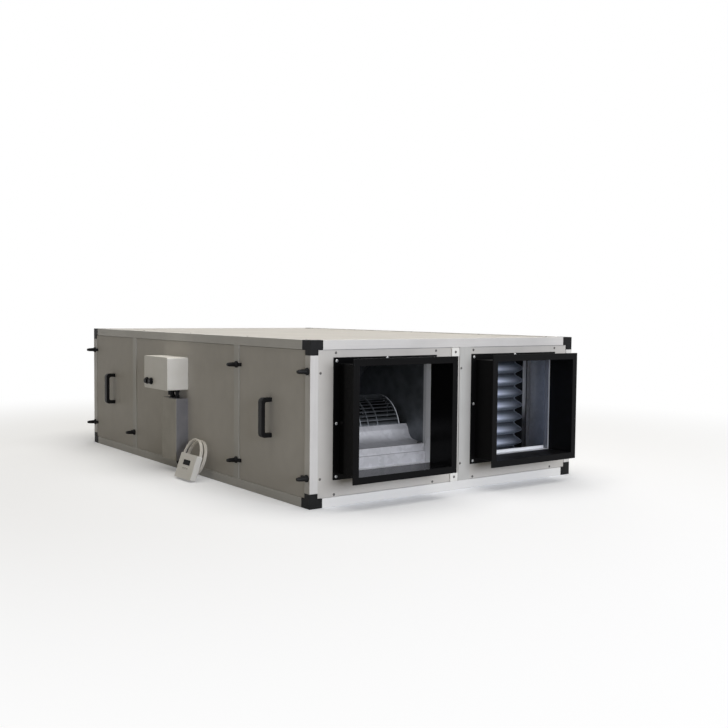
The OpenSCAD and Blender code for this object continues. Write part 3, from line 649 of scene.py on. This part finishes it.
def panel_finish(name):
    """Paint outside, trim and painted shade in an end panel's thickness, and bare zinc inside."""
    material, tree, shader, place = new_finish(name, Specular_IOR_Level=0.07)
    axes = axes_of(tree, place)
    peel, smudge = noise(tree, place, 520, 2), noise(tree, place, 22, 6)
    shade = spread(tree, weigh(tree, noise(tree, place, 4, 6), smudge, 0.65), 0, 1)
    colour = blend_colours(tree, shade, (192, 189, 184), (205, 202, 197))
    near_floor = spread(tree, axes[2], DUST_SHARE, 0, DUST_FULL * MM, DUST_TOP * MM)
    colour = blend_colours(tree, product(tree, near_floor, smudge), colour, (168, 161, 148))
    colour = blend_colours(tree, in_box(tree, axes, trim_y), colour, (240, 241, 244))
    inside = in_box(tree, axes, inner_y)
    # Painted shade: behind the narrow trim on the filters' side the reveal is darker grey.
    reveal_shade = product(
        tree, calculate(tree, "GREATER_THAN", axes[0], 0.0), in_box(tree, axes, reveal_shade_y),
        calculate(tree, "GREATER_THAN", axes[2], sill_level)
    )
    bare = calculate(tree, "MAXIMUM", inside, reveal_shade)
    zinc, zinc_roughness = spangle(tree, place, (200, 204, 212), (218, 222, 230))
    lining = blend_colours(tree, inside, (126, 128, 133), zinc)
    roughness = add_node(tree, "ShaderNodeMix", {
        0: bare, 2: spread(tree, calculate(tree, "ADD", peel, smudge), 0.40, 0.52, 0.7, 1.3),
        3: product(tree, zinc_roughness, ZINC_POLISH)
    }).outputs[0]
    feed(
        tree, shader, Base_Color=blend_colours(tree, bare, colour, lining), Roughness=roughness,
        Metallic=product(tree, bare, ZINC_METAL)
    )
    raise_bump(tree, shader, peel, 0.06, PEEL_DEPTH)
    return material


panel_paint = panel_finish("panel_paint")
print("panel paint", len(panel_paint.node_tree.nodes), "nodes")

# %% [markdown]
# ## Black, grey and white pieces
# The collars are enamelled steel, dark but glossy at a flat angle, and duller over the
# filters. Corner blocks, knobs and handles are moulded nylon with a fine grain. The control
# box and the room controller are white plastic, and the cable is a soft pale sheath. All
# follow the common recipe. The wiring box has a grey body and a paler lid in one solid, so its
# own finish tells them apart by their distance from the casing.

# %% Moulded and painted finishes
def collar_enamel(name, roughness):
    """Black enamel on pressed steel."""
    return two_tone(
        name, (11, 11, 12), (17, 17, 18), grain=620, roughness=roughness, bump=0.03,
        Specular_IOR_Level=0.06
    )


collar_black = collar_enamel("collar_black", (0.15, 0.24))
collar_dull = collar_enamel("collar_dull", (0.42, 0.55))
corner_nylon = two_tone(
    "corner_nylon", (17, 17, 18), (29, 29, 30), grain=1500, roughness=(0.46, 0.62), bump=0.22,
    drift=30, Specular_IOR_Level=0.12
)
grip_black = two_tone(
    "grip_black", (16, 16, 17), (27, 27, 28), grain=1300, roughness=(0.36, 0.52), bump=0.16,
    drift=35, Specular_IOR_Level=0.12
)
white_plastic = two_tone(
    "white_plastic", (232, 230, 224), (241, 240, 236), grain=1400, roughness=(0.38, 0.50),
    bump=0.08, drift=14, Specular_IOR_Level=0.3
)
window = two_tone(
    "display_window", (9, 9, 10), (14, 15, 15), grain=400, roughness=(0.2, 0.3), bump=0.01,
    drift=40, Specular_IOR_Level=0.03
)
cable_grey = two_tone(
    "cable_sheath", (226, 221, 211), (238, 234, 226), grain=900, roughness=(0.48, 0.6), bump=0.1,
    drift=25
)
print("moulded and painted finishes ready")

# %% Wiring box finish
LID_T = 2
box_low, box_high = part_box("wiring_box")


def wiring_box_finish(name):
    """A grey body and a paler lid."""
    material, tree, shader, place = new_finish(name, Specular_IOR_Level=0.2)
    grain = noise(tree, place, 700, 3)
    drift = spread(tree, noise(tree, place, 16, 5), 0, 1)
    on_lid = calculate(tree, "LESS_THAN", axes_of(tree, place)[0], box_low.x + LID_T * MM)
    body = blend_colours(tree, drift, (124, 124, 129), (139, 139, 143))
    lid = blend_colours(tree, drift, (170, 166, 157), (182, 178, 169))
    feed(
        tree, shader, Base_Color=blend_colours(tree, on_lid, body, lid),
        Roughness=spread(tree, grain, 0.42, 0.55)
    )
    raise_bump(tree, shader, grain, 0.1)
    return material


box_paint = wiring_box_finish("box_paint")
print("wiring box", rounded(box_high - box_low, 3), "m")

# %% [markdown]
# ## Shaft, bearings and screws
# The shaft is ground bright, with fine lines round it. The bearings are rough castings, and
# screws are plated bright or browned, with their recess painted dark as shade. These are small
# or deep in shade, so the common recipe is enough for them.

# %% Metal finishes
shaft_steel = two_tone(
    "ground_shaft", (150, 152, 155), (190, 191, 193), grain=700, roughness=(0.25, 0.38),
    bump=0.06, stretch=(1, 0.05, 0.05), Metallic=0.9
)
bearing_iron = two_tone(
    "bearing_casting", (70, 72, 75), (98, 100, 103), grain=420, roughness=(0.5, 0.65), bump=0.3,
    drift=60, Metallic=0.3
)
zinc_plate = two_tone(
    "zinc_plated_screw", (178, 180, 182), (214, 215, 216), grain=900, roughness=(0.28, 0.42),
    bump=0.05, drift=200, Metallic=0.7
)
dark_plate = two_tone(
    "browned_screw", (92, 90, 88), (122, 120, 116), grain=900, roughness=(0.4, 0.55), bump=0.05,
    drift=200, Metallic=0.3
)
# Painted shade for the screws' recess; the cut-off bolts take it as their own dark finish.
dark_bolt_and_recess_shade = two_tone(
    "screw_recess", (38, 38, 40), (58, 58, 60), grain=900, roughness=(0.6, 0.7), bump=0.05,
    drift=200
)
print("metal finishes ready")

# %% [markdown]
# ## Dressing the solids
# Each solid takes one finish. A table from finishes to solids shows at a glance what is made
# of what, and the solids that it leaves out are those that a finer piece replaces.

# %% Finishes on the solids
finish_of = {
    profile_y: ["long_rails"],
    profile_x: ["cross_rails"],
    profile_z: ["corner_posts"],
    profile_mid: ["end_mullions", "side_mullions"],
    corner_nylon: ["corner_blocks"],
    panel_paint: [
        "top_panel", "floor_panel", "near_doors", "near_middle_panel", "far_doors",
        "far_middle_panel", "front_fan_panel", "front_filter_panel", "rear_fan_panel",
        "rear_filter_panel",
    ],
    collar_black: ["front_fan_collar", "rear_fan_collar"],
    collar_dull: ["front_filter_collar", "rear_filter_collar"],
    galvanised: ["filter_tracks"],
    folded_edge: ["filter_sills"],
    frame_zinc: ["front_filter_frame", "rear_filter_frame"],
    scroll_zinc: ["centre_partition", "front_scroll", "rear_scroll"],
    wheel_zinc: ["front_fan_wheel", "rear_fan_wheel"],
    shaft_steel: ["front_fan_shaft", "rear_fan_shaft"],
    bearing_iron: ["front_fan_bearings", "rear_fan_bearings"],
    grip_black: ["near_handles", "far_handles", "near_clamps", "far_clamps", "lid_plugs",
                 "cable_glands"],
    white_plastic: ["panel_clips", "control_box", "control_lid", "room_controller"],
    box_paint: ["wiring_box"],
    window: ["controller_window"],
}
for material, names in finish_of.items():
    for name in names:
        nodes[name].data.materials.clear()
        nodes[name].data.materials.append(material)
cable_curve.materials.append(cable_grey)
undressed = set(nodes) - {name for names in finish_of.values() for name in names}
print("solids that a piece replaces", sorted(undressed))

# %% [markdown]
# ## Soft edges
# Folded sheet, extrusions and mouldings never end in a knife edge, and the thin highlight
# along an edge is what makes a part look solid. A bevel does that, after a weld that joins
# the loose triangles of the solid's mesh. Both are modifiers, so the solid itself stays as
# it is.

# %% Soft edges
WELD_REACH, SHARP_EDGE = 0.01, math.radians(30)


def soften(names, width):
    """Joins a solid's triangles and rounds its sharp edges, without changing its mesh."""
    for name in names:
        weld = nodes[name].modifiers.new("join_triangles", "WELD")
        weld.merge_threshold = WELD_REACH * MM
        bevel = nodes[name].modifiers.new("soft_edges", "BEVEL")
        bevel.width, bevel.segments = width * MM, 2
        bevel.limit_method, bevel.angle_limit = "ANGLE", SHARP_EDGE


soften(finish_of[panel_paint], width=0.8)
soften(finish_of[collar_black] + finish_of[collar_dull], width=0.6)
for aluminium in (profile_x, profile_y, profile_z, profile_mid):
    soften(finish_of[aluminium], width=0.7)
soften(finish_of[corner_nylon], width=1.2)
soften(["near_handles", "far_handles", "near_clamps", "far_clamps"], width=1.0)
soften(finish_of[white_plastic] + finish_of[box_paint], width=1.0)
print("edges softened on", sum(bool(node.modifiers) for node in nodes.values()), "solids")

# %% [markdown]
# ## The cut-off at the fan's mouth
# Under the wheel one sheet closes the mouth: a foot plate, a lip that stands a little behind
# it, a flat ramp that curves up into a steep rise, and a nose that bends over towards the
# wheel. It is made as it would be folded: its section is drawn once and drawn out across the
# mouth. A bevel rounds the sharp folds, and Solidify gives the sheet its thickness.

# %% Folded sheets
SHEET_T, SHEET_PARTS, FOLD_R, FOLD_ANGLE = 2, 12, 1.6, math.radians(15)


def folded_sheet(name, ends, section, outwards, material):
    """A sheet drawn out between two ends along X. Outwards is -1 at the front, 1 behind."""
    mesh = bmesh.new()
    lines = []
    for i in range(SHEET_PARTS + 1):
        x = ends[0] + (ends[1] - ends[0]) * i / SHEET_PARTS
        lines.append([mesh.verts.new((x, outwards * y * MM, z * MM)) for y, z in section])
    for left, right in zip(lines, lines[1:]):
        for i in range(len(section) - 1):
            corners = (left[i], right[i], right[i + 1], left[i + 1])
            mesh.faces.new(corners if outwards < 0 else corners[::-1])
    piece = bpy.data.objects.new(name, bpy.data.meshes.new(name))
    mesh.to_mesh(piece.data)
    mesh.free()
    piece.data.materials.append(material)
    scene.collection.objects.link(piece)
    folds = piece.modifiers.new("round_folds", "BEVEL")
    folds.width, folds.segments = FOLD_R * MM, 3
    folds.limit_method, folds.angle_limit = "ANGLE", FOLD_ANGLE
    wall = piece.modifiers.new("sheet_thickness", "SOLIDIFY")
    wall.thickness, wall.offset = SHEET_T * MM, -1
    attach(piece, "casing")
    print(name, "section of", len(section), "points")
    return piece


print("folded sheet", SHEET_T, "mm thick")

# %% Cut-off sheets
FOOT_H, LIP_H, LIP_STEP, FOOT_TAIL = 36, 24, 9, 14
RAMP_END, RISE_END = (0.80, 0.19), (0.89, 0.73)
BEND_REACH, BEND_STEPS = 24, 12


def bend(before, corner, after):
    """Points of a round bend that cuts a corner of a section, as far as its reach."""
    start = corner + (before - corner).normalized() * BEND_REACH
    end = corner + (after - corner).normalized() * BEND_REACH
    shares = [i / BEND_STEPS for i in range(BEND_STEPS + 1)]
    return [
        tuple((1 - t) ** 2 * start + 2 * t * (1 - t) * corner + t * t * end) for t in shares
    ]


def cutoff_sheet(name, node, outwards):
    """The folded sheet in the place of a cut-off solid."""
    low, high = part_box(node)
    mouth = CASING_L / 2 - SEAT
    lip, lip_low = mouth - LIP_STEP, low.z / MM + FOOT_TAIL + FOOT_H
    lip_high, nose_z = lip_low + LIP_H, high.z / MM
    nose = mouth - (high.y - low.y) / MM + SHEET_T / 2
    section = [(mouth, low.z / MM), (mouth, lip_low), (lip, lip_low), (lip, lip_high)]
    corners = [
        Vector((lip + back * (nose - lip), lip_high + upwards * (nose_z - lip_high)))
        for back, upwards in ((0, 0), RAMP_END, RISE_END, (1, 1))
    ]
    section += bend(*corners[:3]) + [tuple(corner) for corner in corners[2:]]
    piece = folded_sheet(name, (low.x, high.x), section, outwards, galvanised)
    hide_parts(node)


cutoff_sheet("front_cutoff_sheet", "front_cutoff", outwards=-1)
cutoff_sheet("rear_cutoff_sheet", "rear_cutoff", outwards=1)

# %% [markdown]
# ## Hem of the filter's sill
# The sill plate under the filter turns up at the panel into a bright narrow hem. It is the
# same kind of piece as the cut-off: a section drawn out across the opening.

# %% Sill hems
HEM_H, HEM_TAIL, HEM_LIFT, HEM_DROP = 11, 6, 0.2, 1
sill_top, sill_front = sill_high.z / MM, CASING_L / 2 - SEAT
hem = [
    (sill_front, sill_top + HEM_LIFT), (sill_front, sill_top + HEM_H),
    (sill_front - HEM_TAIL, sill_top + HEM_H - HEM_DROP),
]
for name, outwards in (("front_sill_hem", -1), ("rear_sill_hem", 1)):
    folded_sheet(name, (sill_low.x, sill_high.x), hem, outwards, folded_edge)

# %% [markdown]
# ## Pleated filter cloth
# The filter is a sheet of bluish fleece folded in deep level pleats. The folds are regular, so
# a wave describes them better than a cloth simulation: Geometry Nodes bend a flat grid along
# its height, add a slight unevenness, and the Solidify modifier gives the fleece its
# thickness. The tree also stores how near each spot is to an outer crest, because the fleece
# is painted with shade deep in the folds, and more of it towards the outer end of the filter.

# %% Fleece finish
FIBRE_DEPTH, FOLD_DEEP, FOLD_CREST = 1.5, 0.05, 0.8
# Where the fleece's painted shade lies: in the folds and towards the outer end.
INNER_FOLD_SHADE, FOLD_SHADE_FROM, FOLD_SHADE_TO = 0.38, 340, 440
END_SHADE, END_FROM, END_TO = 0.92, 340, 520


def fleece_finish(name):
    """Bluish fibres, painted with shade in the folds and towards the outer end."""
    material, tree, shader, place = new_finish(
        name, Sheen_Weight=0.38, Sheen_Roughness=0.5, Sheen_Tint=(0.70, 0.82, 1.0, 1)
    )
    fibres = noise(tree, place, 650, 6, (1, 1, 0.35))
    shade = spread(tree, weigh(tree, fibres, noise(tree, place, 45, 5), 0.5), 0, 1)
    fold = add_node(tree, "ShaderNodeAttribute", attribute_name="fold").outputs["Fac"]
    along = axes_of(tree, place)[0]
    # Painted shade: darker away from the crests, and more so towards the outer end.
    fold_shade = product(
        tree, spread(tree, fold, 1, 0, FOLD_DEEP, FOLD_CREST),
        spread(tree, along, INNER_FOLD_SHADE, 1, FOLD_SHADE_FROM * MM, FOLD_SHADE_TO * MM)
    )
    end_shade = spread(tree, along, 0, END_SHADE, END_FROM * MM, END_TO * MM, "SMOOTHSTEP")
    bright_share = product(
        tree, calculate(tree, "SUBTRACT", 1.0, fold_shade), calculate(tree, "SUBTRACT", 1.0, end_shade)
    )
    cloth = blend_colours(tree, shade, (212, 221, 246), (234, 241, 255))
    feed(
        tree, shader, Base_Color=blend_colours(tree, bright_share, (42, 45, 53), cloth),
        Roughness=spread(tree, fibres, 0.78, 0.95)
    )
    raise_bump(tree, shader, fibres, 0.5, FIBRE_DEPTH)
    return material


fleece = fleece_finish("filter_fleece")
print("fleece", len(fleece.node_tree.nodes), "nodes")

# %% Pleat wave
WAVE_STEPS, SHEET_STEPS, RIPPLES, UP_TILT = 28, 40, 14, math.radians(20)


def tree_with_inputs(name, sizes):
    """An empty node tree for geometry with named inputs, and the identifier of each."""
    tree = bpy.data.node_groups.new(name, "GeometryNodeTree")
    tree.interface.new_socket("Geometry", in_out="INPUT", socket_type="NodeSocketGeometry")
    tree.interface.new_socket("Geometry", in_out="OUTPUT", socket_type="NodeSocketGeometry")
    keys = {}
    for size, kind in sizes.items():
        made = tree.interface.new_socket(size, in_out="INPUT", socket_type="NodeSocket" + kind)
        keys[size] = made.identifier
    return tree, keys, add_node(tree, "NodeGroupInput").outputs


wave_tree, wave_keys, wave_in = tree_with_inputs("pleated_fleece", {
    "Width": "Float", "Height": "Float", "Depth": "Float", "Pleats": "Int",
    "Unevenness": "Float", "Seed": "Float", "Start": "Float", "Middle": "Vector",
    "Material": "Material",
})
spot = add_node(wave_tree, "GeometryNodeInputPosition")
on_grid = axes_of(wave_tree, spot)
grid_share = calculate(
    wave_tree, "ADD", calculate(wave_tree, "DIVIDE", on_grid[1], wave_in["Height"]), 0.5
)
pleats_below = calculate(
    wave_tree, "ADD", product(wave_tree, grid_share, wave_in["Pleats"]), wave_in["Start"]
)
phase = product(wave_tree, pleats_below, 2 * math.pi)
near_crest = calculate(wave_tree, "COSINE", calculate(wave_tree, "SUBTRACT", phase, UP_TILT))
half_depth = product(wave_tree, wave_in["Depth"], -0.5)
swing = product(wave_tree, calculate(wave_tree, "COSINE", phase), half_depth)
seed_shift = add_node(wave_tree, "ShaderNodeCombineXYZ", {0: wave_in["Seed"], 1: wave_in["Seed"]})
shifted = add_node(wave_tree, "ShaderNodeVectorMath", {0: spot, 1: seed_shift}, operation="ADD")
ripple = calculate(wave_tree, "SUBTRACT", noise(wave_tree, shifted, RIPPLES, 2), 0.5)
swing = calculate(wave_tree, "ADD", swing, product(wave_tree, ripple, wave_in["Unevenness"]))
print("pleat wave", len(wave_tree.nodes), "nodes")

# %% Pleated sheet
rows = calculate(wave_tree, "ADD", product(wave_tree, wave_in["Pleats"], WAVE_STEPS), 1.0)
flat_sheet = add_node(wave_tree, "GeometryNodeMeshGrid", {
    "Size X": wave_in["Width"], "Size Y": wave_in["Height"], "Vertices X": SHEET_STEPS,
    "Vertices Y": rows,
})
marked_sheet = add_node(wave_tree, "GeometryNodeStoreNamedAttribute", {
    "Geometry": flat_sheet, "Name": "fold", "Value": near_crest
}, data_type="FLOAT", domain="POINT")
bent = add_node(wave_tree, "ShaderNodeCombineXYZ", {0: on_grid[0], 1: swing, 2: on_grid[1]})
placed = add_node(
    wave_tree, "ShaderNodeVectorMath", {0: bent, 1: wave_in["Middle"]}, operation="ADD"
)
waved = add_node(wave_tree, "GeometryNodeSetPosition", {
    "Geometry": marked_sheet, "Position": placed
})
whole = add_node(wave_tree, "GeometryNodeRealizeInstances", {"Geometry": waved})
dressed = add_node(wave_tree, "GeometryNodeSetMaterial", {
    "Geometry": whole, "Material": wave_in["Material"]
})
add_node(wave_tree, "NodeGroupOutput", {0: dressed})
print("wave tree", len(wave_tree.nodes), "nodes")

# %% Filter cloths
CLOTH_T, PLEATS, PLEAT_CLEAR, FIRST_FOLD, UNEVENNESS = 3.4, 9, 0.6, -0.32, 1
EDGE_REACH = 0.1


def grown(name, seed_mesh, tree, keys, values):
    """Runs a tree on a seed mesh and keeps the result as a plain mesh."""
    seed = bpy.data.objects.new(name + "_seed", seed_mesh)
    scene.collection.objects.link(seed)
    modifier = seed.modifiers.new("tree", "NODES")
    modifier.node_group = tree
    for key, value in values.items():
        modifier[keys[key]] = value
    shape = seed.evaluated_get(bpy.context.evaluated_depsgraph_get())
    mesh = bpy.data.meshes.new_from_object(shape)
    bpy.data.objects.remove(seed)
    piece = bpy.data.objects.new(name, mesh)
    mesh.name = name
    scene.collection.objects.link(piece)
    return piece


def filter_cloth(name, node, seed, outwards):
    """A pleated sheet in the place of a cloth solid. Outwards is -1 at the front, 1 behind."""
    low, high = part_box(node)
    size = high - low
    swing_depth = size.y - (CLOTH_T + 2 * PLEAT_CLEAR) * MM
    piece = grown(name, bpy.data.meshes.new(name), wave_tree, wave_keys, {
        "Width": size.x, "Height": size.z, "Depth": -outwards * swing_depth, "Pleats": PLEATS,
        "Unevenness": UNEVENNESS * MM, "Seed": seed, "Start": FIRST_FOLD,
        "Middle": (low + high) / 2, "Material": fleece,
    })
    piece.data.shade_smooth()
    edge = [v.co for v in piece.data.vertices if abs(v.co.x - low.x) < EDGE_REACH * MM]
    edge.sort(key=lambda place: place.z)
    wall = piece.modifiers.new("fleece_thickness", "SOLIDIFY")
    wall.thickness, wall.offset = CLOTH_T * MM, 0
    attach(piece, "casing")
    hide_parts(node)


filter_cloth("front_filter_pleats", "front_filter_cloth", seed=3.0, outwards=-1)
filter_cloth("rear_filter_pleats", "rear_filter_cloth", seed=7.0, outwards=1)

# %% [markdown]
# ## Controller keys
# Under its display the room controller has three flat keys. The controller leans, so the
# keys are set out on its own face: along the casing, up the lean, and off the face. Three
# plain blocks are too few for a node tree, so their corners are written as points.

# %% Place of the keys
KEY_ALONG, KEY_UP, KEY_RISE, KEY_PITCH, KEY_DROP, KEY_EDGE = 10, 6, 1.0, 15, 21, 0.4
up_lean = Vector((math.sin(LEAN), 0, math.cos(LEAN)))
off_face = Vector((-math.cos(LEAN), 0, math.sin(LEAN)))
face_level = max(v.co.dot(off_face) for v in nodes["room_controller"].data.vertices)
window_low, window_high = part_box("controller_window")
key_row = (window_low + window_high) / 2 - up_lean * KEY_DROP * MM
key_row += off_face * (face_level - key_row.dot(off_face))
key_grey = two_tone(
    "key_grey", (186, 183, 177), (198, 196, 190), grain=1400, roughness=(0.4, 0.5), bump=0.08,
    drift=30, Specular_IOR_Level=0.2
)
print("keys at", rounded(key_row))

# %% Controller keys
key_mesh = bmesh.new()
for i in (-1, 0, 1):
    middle = key_row + Vector((0, i * KEY_PITCH * MM, 0))
    corners = [
        key_mesh.verts.new(middle + Vector((0, a * KEY_ALONG / 2 * MM, 0))
                           + up_lean * (b * KEY_UP / 2 * MM) + off_face * (c * KEY_RISE * MM))
        for c in (-1, 1) for a, b in ((-1, -1), (1, -1), (1, 1), (-1, 1))
    ]
    key_mesh.faces.new(corners[3::-1])
    key_mesh.faces.new(corners[4:])
    for j in range(4):
        k = (j + 1) % 4
        key_mesh.faces.new((corners[j], corners[k], corners[k + 4], corners[j + 4]))
bmesh.ops.recalc_face_normals(key_mesh, faces=key_mesh.faces)
keys = bpy.data.objects.new("controller_keys", bpy.data.meshes.new("controller_keys"))
key_mesh.to_mesh(keys.data)
key_mesh.free()
keys.data.materials.append(key_grey)
scene.collection.objects.link(keys)
key_edges = keys.modifiers.new("soft_edges", "BEVEL")
key_edges.width, key_edges.segments = KEY_EDGE * MM, 2
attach(keys, "casing")
print("keys", len(keys.data.polygons), "faces")

# %% [markdown]
# ## Screws
# Panels and collars are held by pan head screws with a cross recess. One tree makes the head
# and sets a copy on every point of a cloud, turned to the way that the point faces, so a new
# row needs only its points. They stand in rows along the panels' edges, and eight stand on
# each collar's flange.

# %% Screw head
HEAD_SIDES, TOP_SHARE, SLOT_SHARE, SLOT_RISE = 20, 0.62, 0.2, 0.1

screw_tree, screw_keys, screw_in = tree_with_inputs("pan_head_screws", {
    "Head": "Float", "Rise": "Float", "Metal": "Material", "Recess": "Material",
})
radius = product(screw_tree, screw_in["Head"], 0.5)
cone = add_node(screw_tree, "GeometryNodeMeshCone", {
    "Vertices": HEAD_SIDES, "Radius Top": product(screw_tree, radius, TOP_SHARE),
    "Radius Bottom": radius, "Depth": screw_in["Rise"],
})
slot_wide = product(screw_tree, radius, SLOT_SHARE)
slot_deep = product(screw_tree, screw_in["Rise"], SLOT_RISE)


def slot_bar(along, across):
    """One flat bar of the cross recess."""
    size = add_node(screw_tree, "ShaderNodeCombineXYZ", {0: along, 1: across, 2: slot_deep})
    return add_node(screw_tree, "GeometryNodeMeshCube", {"Size": size})


def joined(tree, *shapes):
    """Several shapes as one."""
    join = add_node(tree, "GeometryNodeJoinGeometry")
    for shape in shapes:
        tree.links.new(shape.outputs[0], join.inputs[0])
    return join


cross = joined(screw_tree, slot_bar(radius, slot_wide), slot_bar(slot_wide, radius))
on_top = add_node(screw_tree, "ShaderNodeCombineXYZ", {2: screw_in["Rise"]})
raised = add_node(screw_tree, "GeometryNodeTransform", {"Geometry": cross, "Translation": on_top})
marked = add_node(screw_tree, "GeometryNodeStoreNamedAttribute", {
    "Geometry": raised, "Name": "in_recess", "Value": True
}, data_type="BOOLEAN", domain="FACE")
screw = joined(screw_tree, cone, marked)
print("screw head", len(screw_tree.nodes), "nodes")

# %% Screws on points
facing = add_node(
    screw_tree, "GeometryNodeInputNamedAttribute", {"Name": "facing"}, data_type="FLOAT_VECTOR"
)
turn = add_node(
    screw_tree, "FunctionNodeAlignRotationToVector", {"Vector": facing}, axis="Z"
)
copies = add_node(screw_tree, "GeometryNodeInstanceOnPoints", {
    "Points": screw_in["Geometry"], "Instance": screw, "Rotation": turn
})
solid = add_node(screw_tree, "GeometryNodeRealizeInstances", {"Geometry": copies})
metal = add_node(screw_tree, "GeometryNodeSetMaterial", {
    "Geometry": solid, "Material": screw_in["Metal"]
})
# The cross recess is painted dark as shade.
in_recess = add_node(
    screw_tree, "GeometryNodeInputNamedAttribute", {"Name": "in_recess"}, data_type="BOOLEAN"
)
finished = add_node(screw_tree, "GeometryNodeSetMaterial", {
    "Geometry": metal, "Selection": in_recess, "Material": screw_in["Recess"]
})
add_node(screw_tree, "NodeGroupOutput", {0: finished})
print("screw tree", len(screw_tree.nodes), "nodes")

# %% Panel screws
PANEL_HEAD = (9, 2.2)


def screws(name, places, head, plating):
    """One piece with a head of this width and rise at each point, turned to the point's way."""
    cloud = bpy.data.meshes.new(name + "_points")
    cloud.from_pydata([place for place, _ in places], [], [])
    ways = cloud.attributes.new("facing", "FLOAT_VECTOR", "POINT")
    for item, (_, way) in zip(ways.data, places):
        item.vector = way
    width, rise = head
    piece = grown(name, cloud, screw_tree, screw_keys, {
        "Head": width * MM, "Rise": rise * MM, "Metal": plating, "Recess": dark_bolt_and_recess_shade,
    })
    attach(piece, "casing")
    print(name, len(places), "heads,", len(piece.data.polygons), "faces")


def both_ends(spots, depth):
    """Places on the front, given right and up, and the same places mirrored on the rear."""
    front = [(from_corner(x, depth, z), (0, -1, 0)) for x, z in spots]
    rear = [(Vector((p.x, -p.y, p.z)), (0, 1, 0)) for p, _ in front]
    return front + rear


panel_spots = [
    (96, 480), (504, 480), (92, 38), (495, 38), (39, 418), (39, 90),
    (674, 480), (1082, 480), (678, 38), (1068, 38), (1136, 418), (1136, 90),
]
screws("panel_screws", both_ends(panel_spots, RECESS), PANEL_HEAD, dark_plate)
mullion_spots = [(617, 418), (617, 90)]
screws("mullion_screws", both_ends(mullion_spots, 0), PANEL_HEAD, dark_plate)

# %% Collar screws
COLLAR_HEAD, FLANGE_FACE, FLANGE_MIDDLE, EDGE_RISE = (10, 2.4), -2, 11, 5.5
FAN_SIDE, FILTER_SIDE = 0.46, 0.55


def flange_spots(node, side_share):
    """Eight places round a collar's flange. The side ones sit at this share of its height."""
    low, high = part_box(node)
    left, wide = (low.x - casing_low.x) / MM, (high.x - low.x) / MM
    base, tall = low.z / MM, (high.z - low.z) / MM
    spots = []
    for across in (0, 0.5, 1):
        for upwards in (0, side_share, 1):
            if (across, upwards) != (0.5, side_share):
                raised = EDGE_RISE if (across, upwards) == (0.5, 1) else 0
                spots.append((
                    left + FLANGE_MIDDLE + across * (wide - 2 * FLANGE_MIDDLE),
                    base + FLANGE_MIDDLE + upwards * (tall - 2 * FLANGE_MIDDLE) + raised
                ))
    return spots


collar_spots = flange_spots("front_fan_collar", FAN_SIDE)
collar_spots += flange_spots("front_filter_collar", FILTER_SIDE)
screws("collar_screws", both_ends(collar_spots, FLANGE_FACE), COLLAR_HEAD, zinc_plate)

# %% Clip and top screws
CLIP_END, TOP_EDGE, TOP_END, TOP_INNER = 15, 43, 90, 463
clip_low, clip_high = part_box("panel_clips")
clip_x = ((clip_low.x + clip_high.x) / 2 - casing_low.x) / MM
clip_depth = (clip_low.y - casing_low.y) / MM
clip_spots = [(clip_x, clip_low.z / MM + CLIP_END), (clip_x, clip_high.z / MM - CLIP_END)]
screws("clip_screws", both_ends(clip_spots, clip_depth), PANEL_HEAD, dark_plate)

top_depths = (TOP_END, TOP_INNER, CASING_L / 2, CASING_L - TOP_INNER, CASING_L - TOP_END)
top_spots = [
    (from_corner(x, depth, CASING_H - RECESS), (0, 0, 1))
    for x in (TOP_EDGE, CASING_W - TOP_EDGE) for depth in top_depths
]
screws("top_screws", top_spots, PANEL_HEAD, dark_plate)

# %% Cut-off bolts
CUTOFF_BOLT, BOLT_HEAD, BOLT_TILT = (470, 45, 166), (15, 5), 0.2
bolt_front = from_corner(*CUTOFF_BOLT)
bolt_rear = Vector((bolt_front.x, -bolt_front.y, bolt_front.z))
bolt_ways = [(bolt_front, (0, -BOLT_TILT, 1)), (bolt_rear, (0, BOLT_TILT, 1))]
screws("cutoff_bolts", bolt_ways, BOLT_HEAD, dark_bolt_and_recess_shade)

# %% [markdown]
# ## Last step
# The last cell brings the scene up to date.

# %% Update the scene
bpy.context.view_layer.update()
